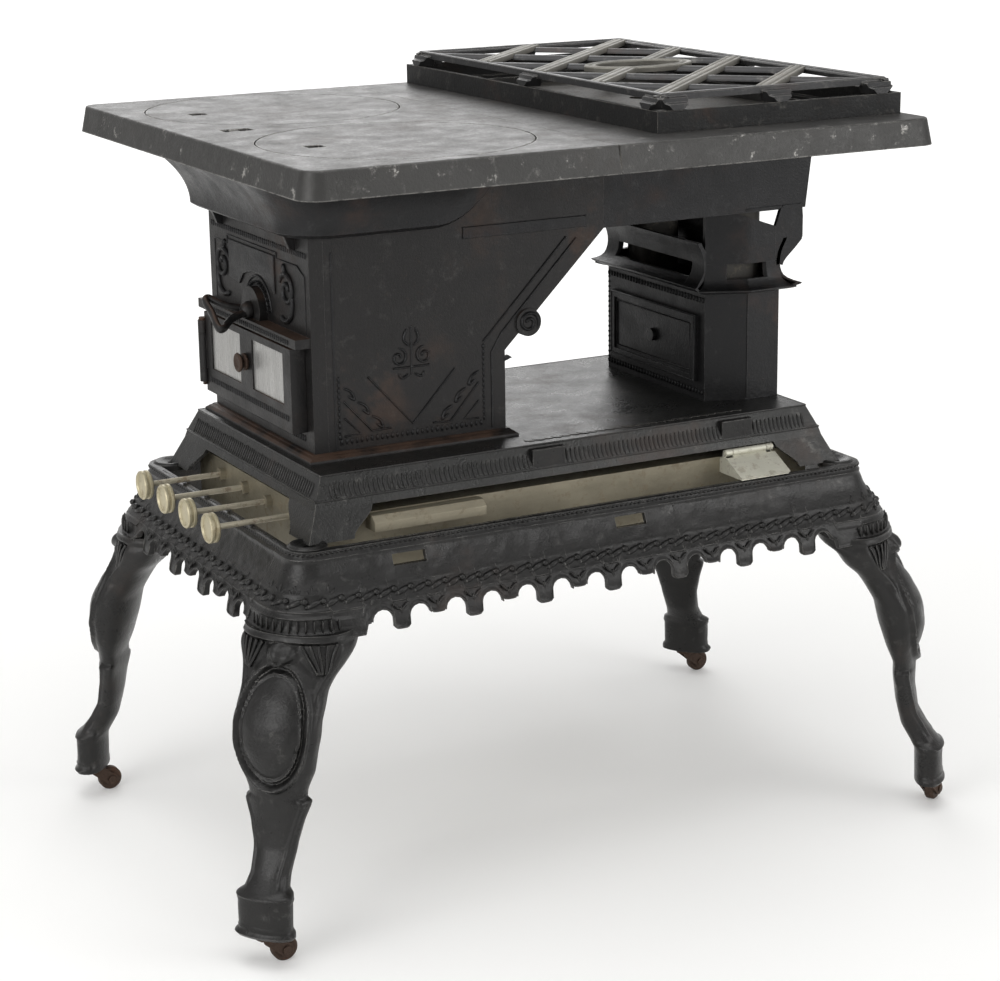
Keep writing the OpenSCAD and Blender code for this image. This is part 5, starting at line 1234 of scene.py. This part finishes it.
def clipped(u0, v0, du, dv):
    """Ends of a line through a point, cut off at the grate's outline."""
    x0, x1, y0, y1 = GRATE[0] + 6, GRATE[1] - 6, GRATE[2] + 6, GRATE[3] - 6
    low, high = -1e9, 1e9
    for p, d, a, b in ((u0, du, x0, x1), (v0, dv, y0, y1)):
        s, t = sorted(((a - p) / d, (b - p) / d))
        low, high = max(low, s), min(high, t)
    return (low, high) if high - low > 30 else None


def strap(start, end, section, lift=0.0):
    """A bar between two places with a section given as (across, height) pairs."""
    direction = Vector((end[0] - start[0], end[1] - start[1])).normalized()
    side = Vector((-direction.y, direction.x))
    loops = []
    for p in (start, end):
        loops.append([(p[0] + side.x * a, p[1] + side.y * a, GRATE_TOP + h + lift) for a, h in section])
    return rings(loops)


RIBBED = [(-7.5, -5), (-7.5, -1.2), (-6.8, -0.3), (-4.6, -0.3), (-3.6, -1.2), (-2.6, -0.2), (-1.6, 0), (1.6, 0),
          (2.6, -0.2), (3.6, -1.2), (4.6, -0.3), (6.8, -0.3), (7.5, -1.2), (7.5, -5)]
ROUNDED = [(7 * math.sin(a), -6 + 4.6 * math.cos(a)) for a in (math.radians(-90 + 180 * i / 8) for i in range(9))]
EDGE_BAR = [(-5, -6), (-5, -2.5), (-4, -1.4), (-1.2, -1.2), (-0.4, -0.2), (0.6, 0), (4.2, 0), (5, -0.8), (5, -6)]


def build_grate():
    light, dark = [], []
    mid = ((GRATE[0] + GRATE[1]) / 2, (GRATE[2] + GRATE[3]) / 2)
    ring = (48.0, 29.0)
    for k in range(-4, 5):
        for hand, parts, section in ((1, light, RIBBED), (-1, dark, ROUNDED)):
            start = (mid[0], mid[1] + k * 103.5)
            span = clipped(start[0], start[1], 1, hand)
            if not span:
                continue
            ends = [span]
            if k == 0:
                cut = 1 / math.sqrt((1 / ring[0]) ** 2 + (1 / ring[1]) ** 2)
                ends = [(span[0], -cut), (cut, span[1])]
            for low, high in ends:
                parts.append(strap((start[0] + low, start[1] + hand * low), (start[0] + high, start[1] + hand * high),
                                   section, 0 if hand > 0 else -0.3))
    x0, x1, y0, y1 = GRATE
    corner = [(x0, y0), (x1, y0), (x1, y1), (x0, y1)]
    loops = []
    for i, (x, y) in enumerate(corner):
        ox, oy = (1 if x == x1 else -1), (1 if y == y1 else -1)
        loops.append([(x + ox * (a - 5), y + oy * (a - 5), GRATE_TOP + h) for a, h in EDGE_BAR])
    loops.append(loops[0])
    bar, bar_faces = rings(loops, False, False)
    dark.append((bar, bar_faces))
    oval = []
    for i in range(41):
        a = 2 * math.pi * i / 40
        oval.append([(mid[0] + (ring[0] + c * 1.0) * math.cos(a), mid[1] + (ring[1] + c) * math.sin(a), GRATE_TOP + h)
                     for c, h in [(-5.5, -5), (-5.5, -1), (-4.5, 0), (-1.5, -0.2), (0, -1.4), (1.5, -0.2), (4.5, 0),
                                  (5.5, -1), (5.5, -5)]])
    light.append(rings(oval, False, False))
    # tapered feet that reach out onto the tray's wall
    for mx, my in ((-1, -1), (0, -1), (1, -1), (-1, 1), (0, 1), (1, 1)):
        x = mid[0] + mx * 102
        y = y0 if my < 0 else y1
        dark.append(foot_shape((x, y), (0, my), 10.6))
    for mx, my in ((-1, -1), (-1, 0), (-1, 1), (1, -1), (1, 0), (1, 1)):
        dark.append(foot_shape((x0 if mx < 0 else x1, mid[1] + my * 211), (mx, 0), 8.6))
    shell = piece("cast_grate", *join_parts(dark), GRATE_IRON, slot="worn_iron", sharp=38)
    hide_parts("pot_grate")
    piece("grate_straps", *join_parts(light), STRAP_IRON, slot="worn_iron", sharp=38)


def foot_shape(at, out, reach):
    across = (out[1], out[0])
    loops = []
    for depth, top, wide in ((-5, -1.5, 15), (-1, -1.5, 15), (0.5, -3.4, 14), (reach * 0.45, -3.8, 12.5),
                             (reach * 0.6, -7, 11), (reach, -8, 9)):
        x, y = at[0] + out[0] * depth, at[1] + out[1] * depth
        loops.append([(x + across[0] * a, y + across[1] * a, z) for a, z in
                      ((-wide, GRATE_TOP + top - 0.8), (-wide + 1, GRATE_TOP + top), (wide - 1, GRATE_TOP + top),
                       (wide, GRATE_TOP + top - 0.8), (wide - 4, TRAY_TOP), (-wide + 4, TRAY_TOP))])
    return rings(loops)


place_camera()
light_studio()
lay_floor()
coat_cad_nodes()
build_legs()
build_aprons()
build_apron_ornament()
build_plinth_ornament()
build_top_joint()
build_foot_moulding()
build_front_ornament()
build_end_ornament()
build_lever()
build_knob()
build_box_ornament()
build_collar()
build_flare()
build_grate()
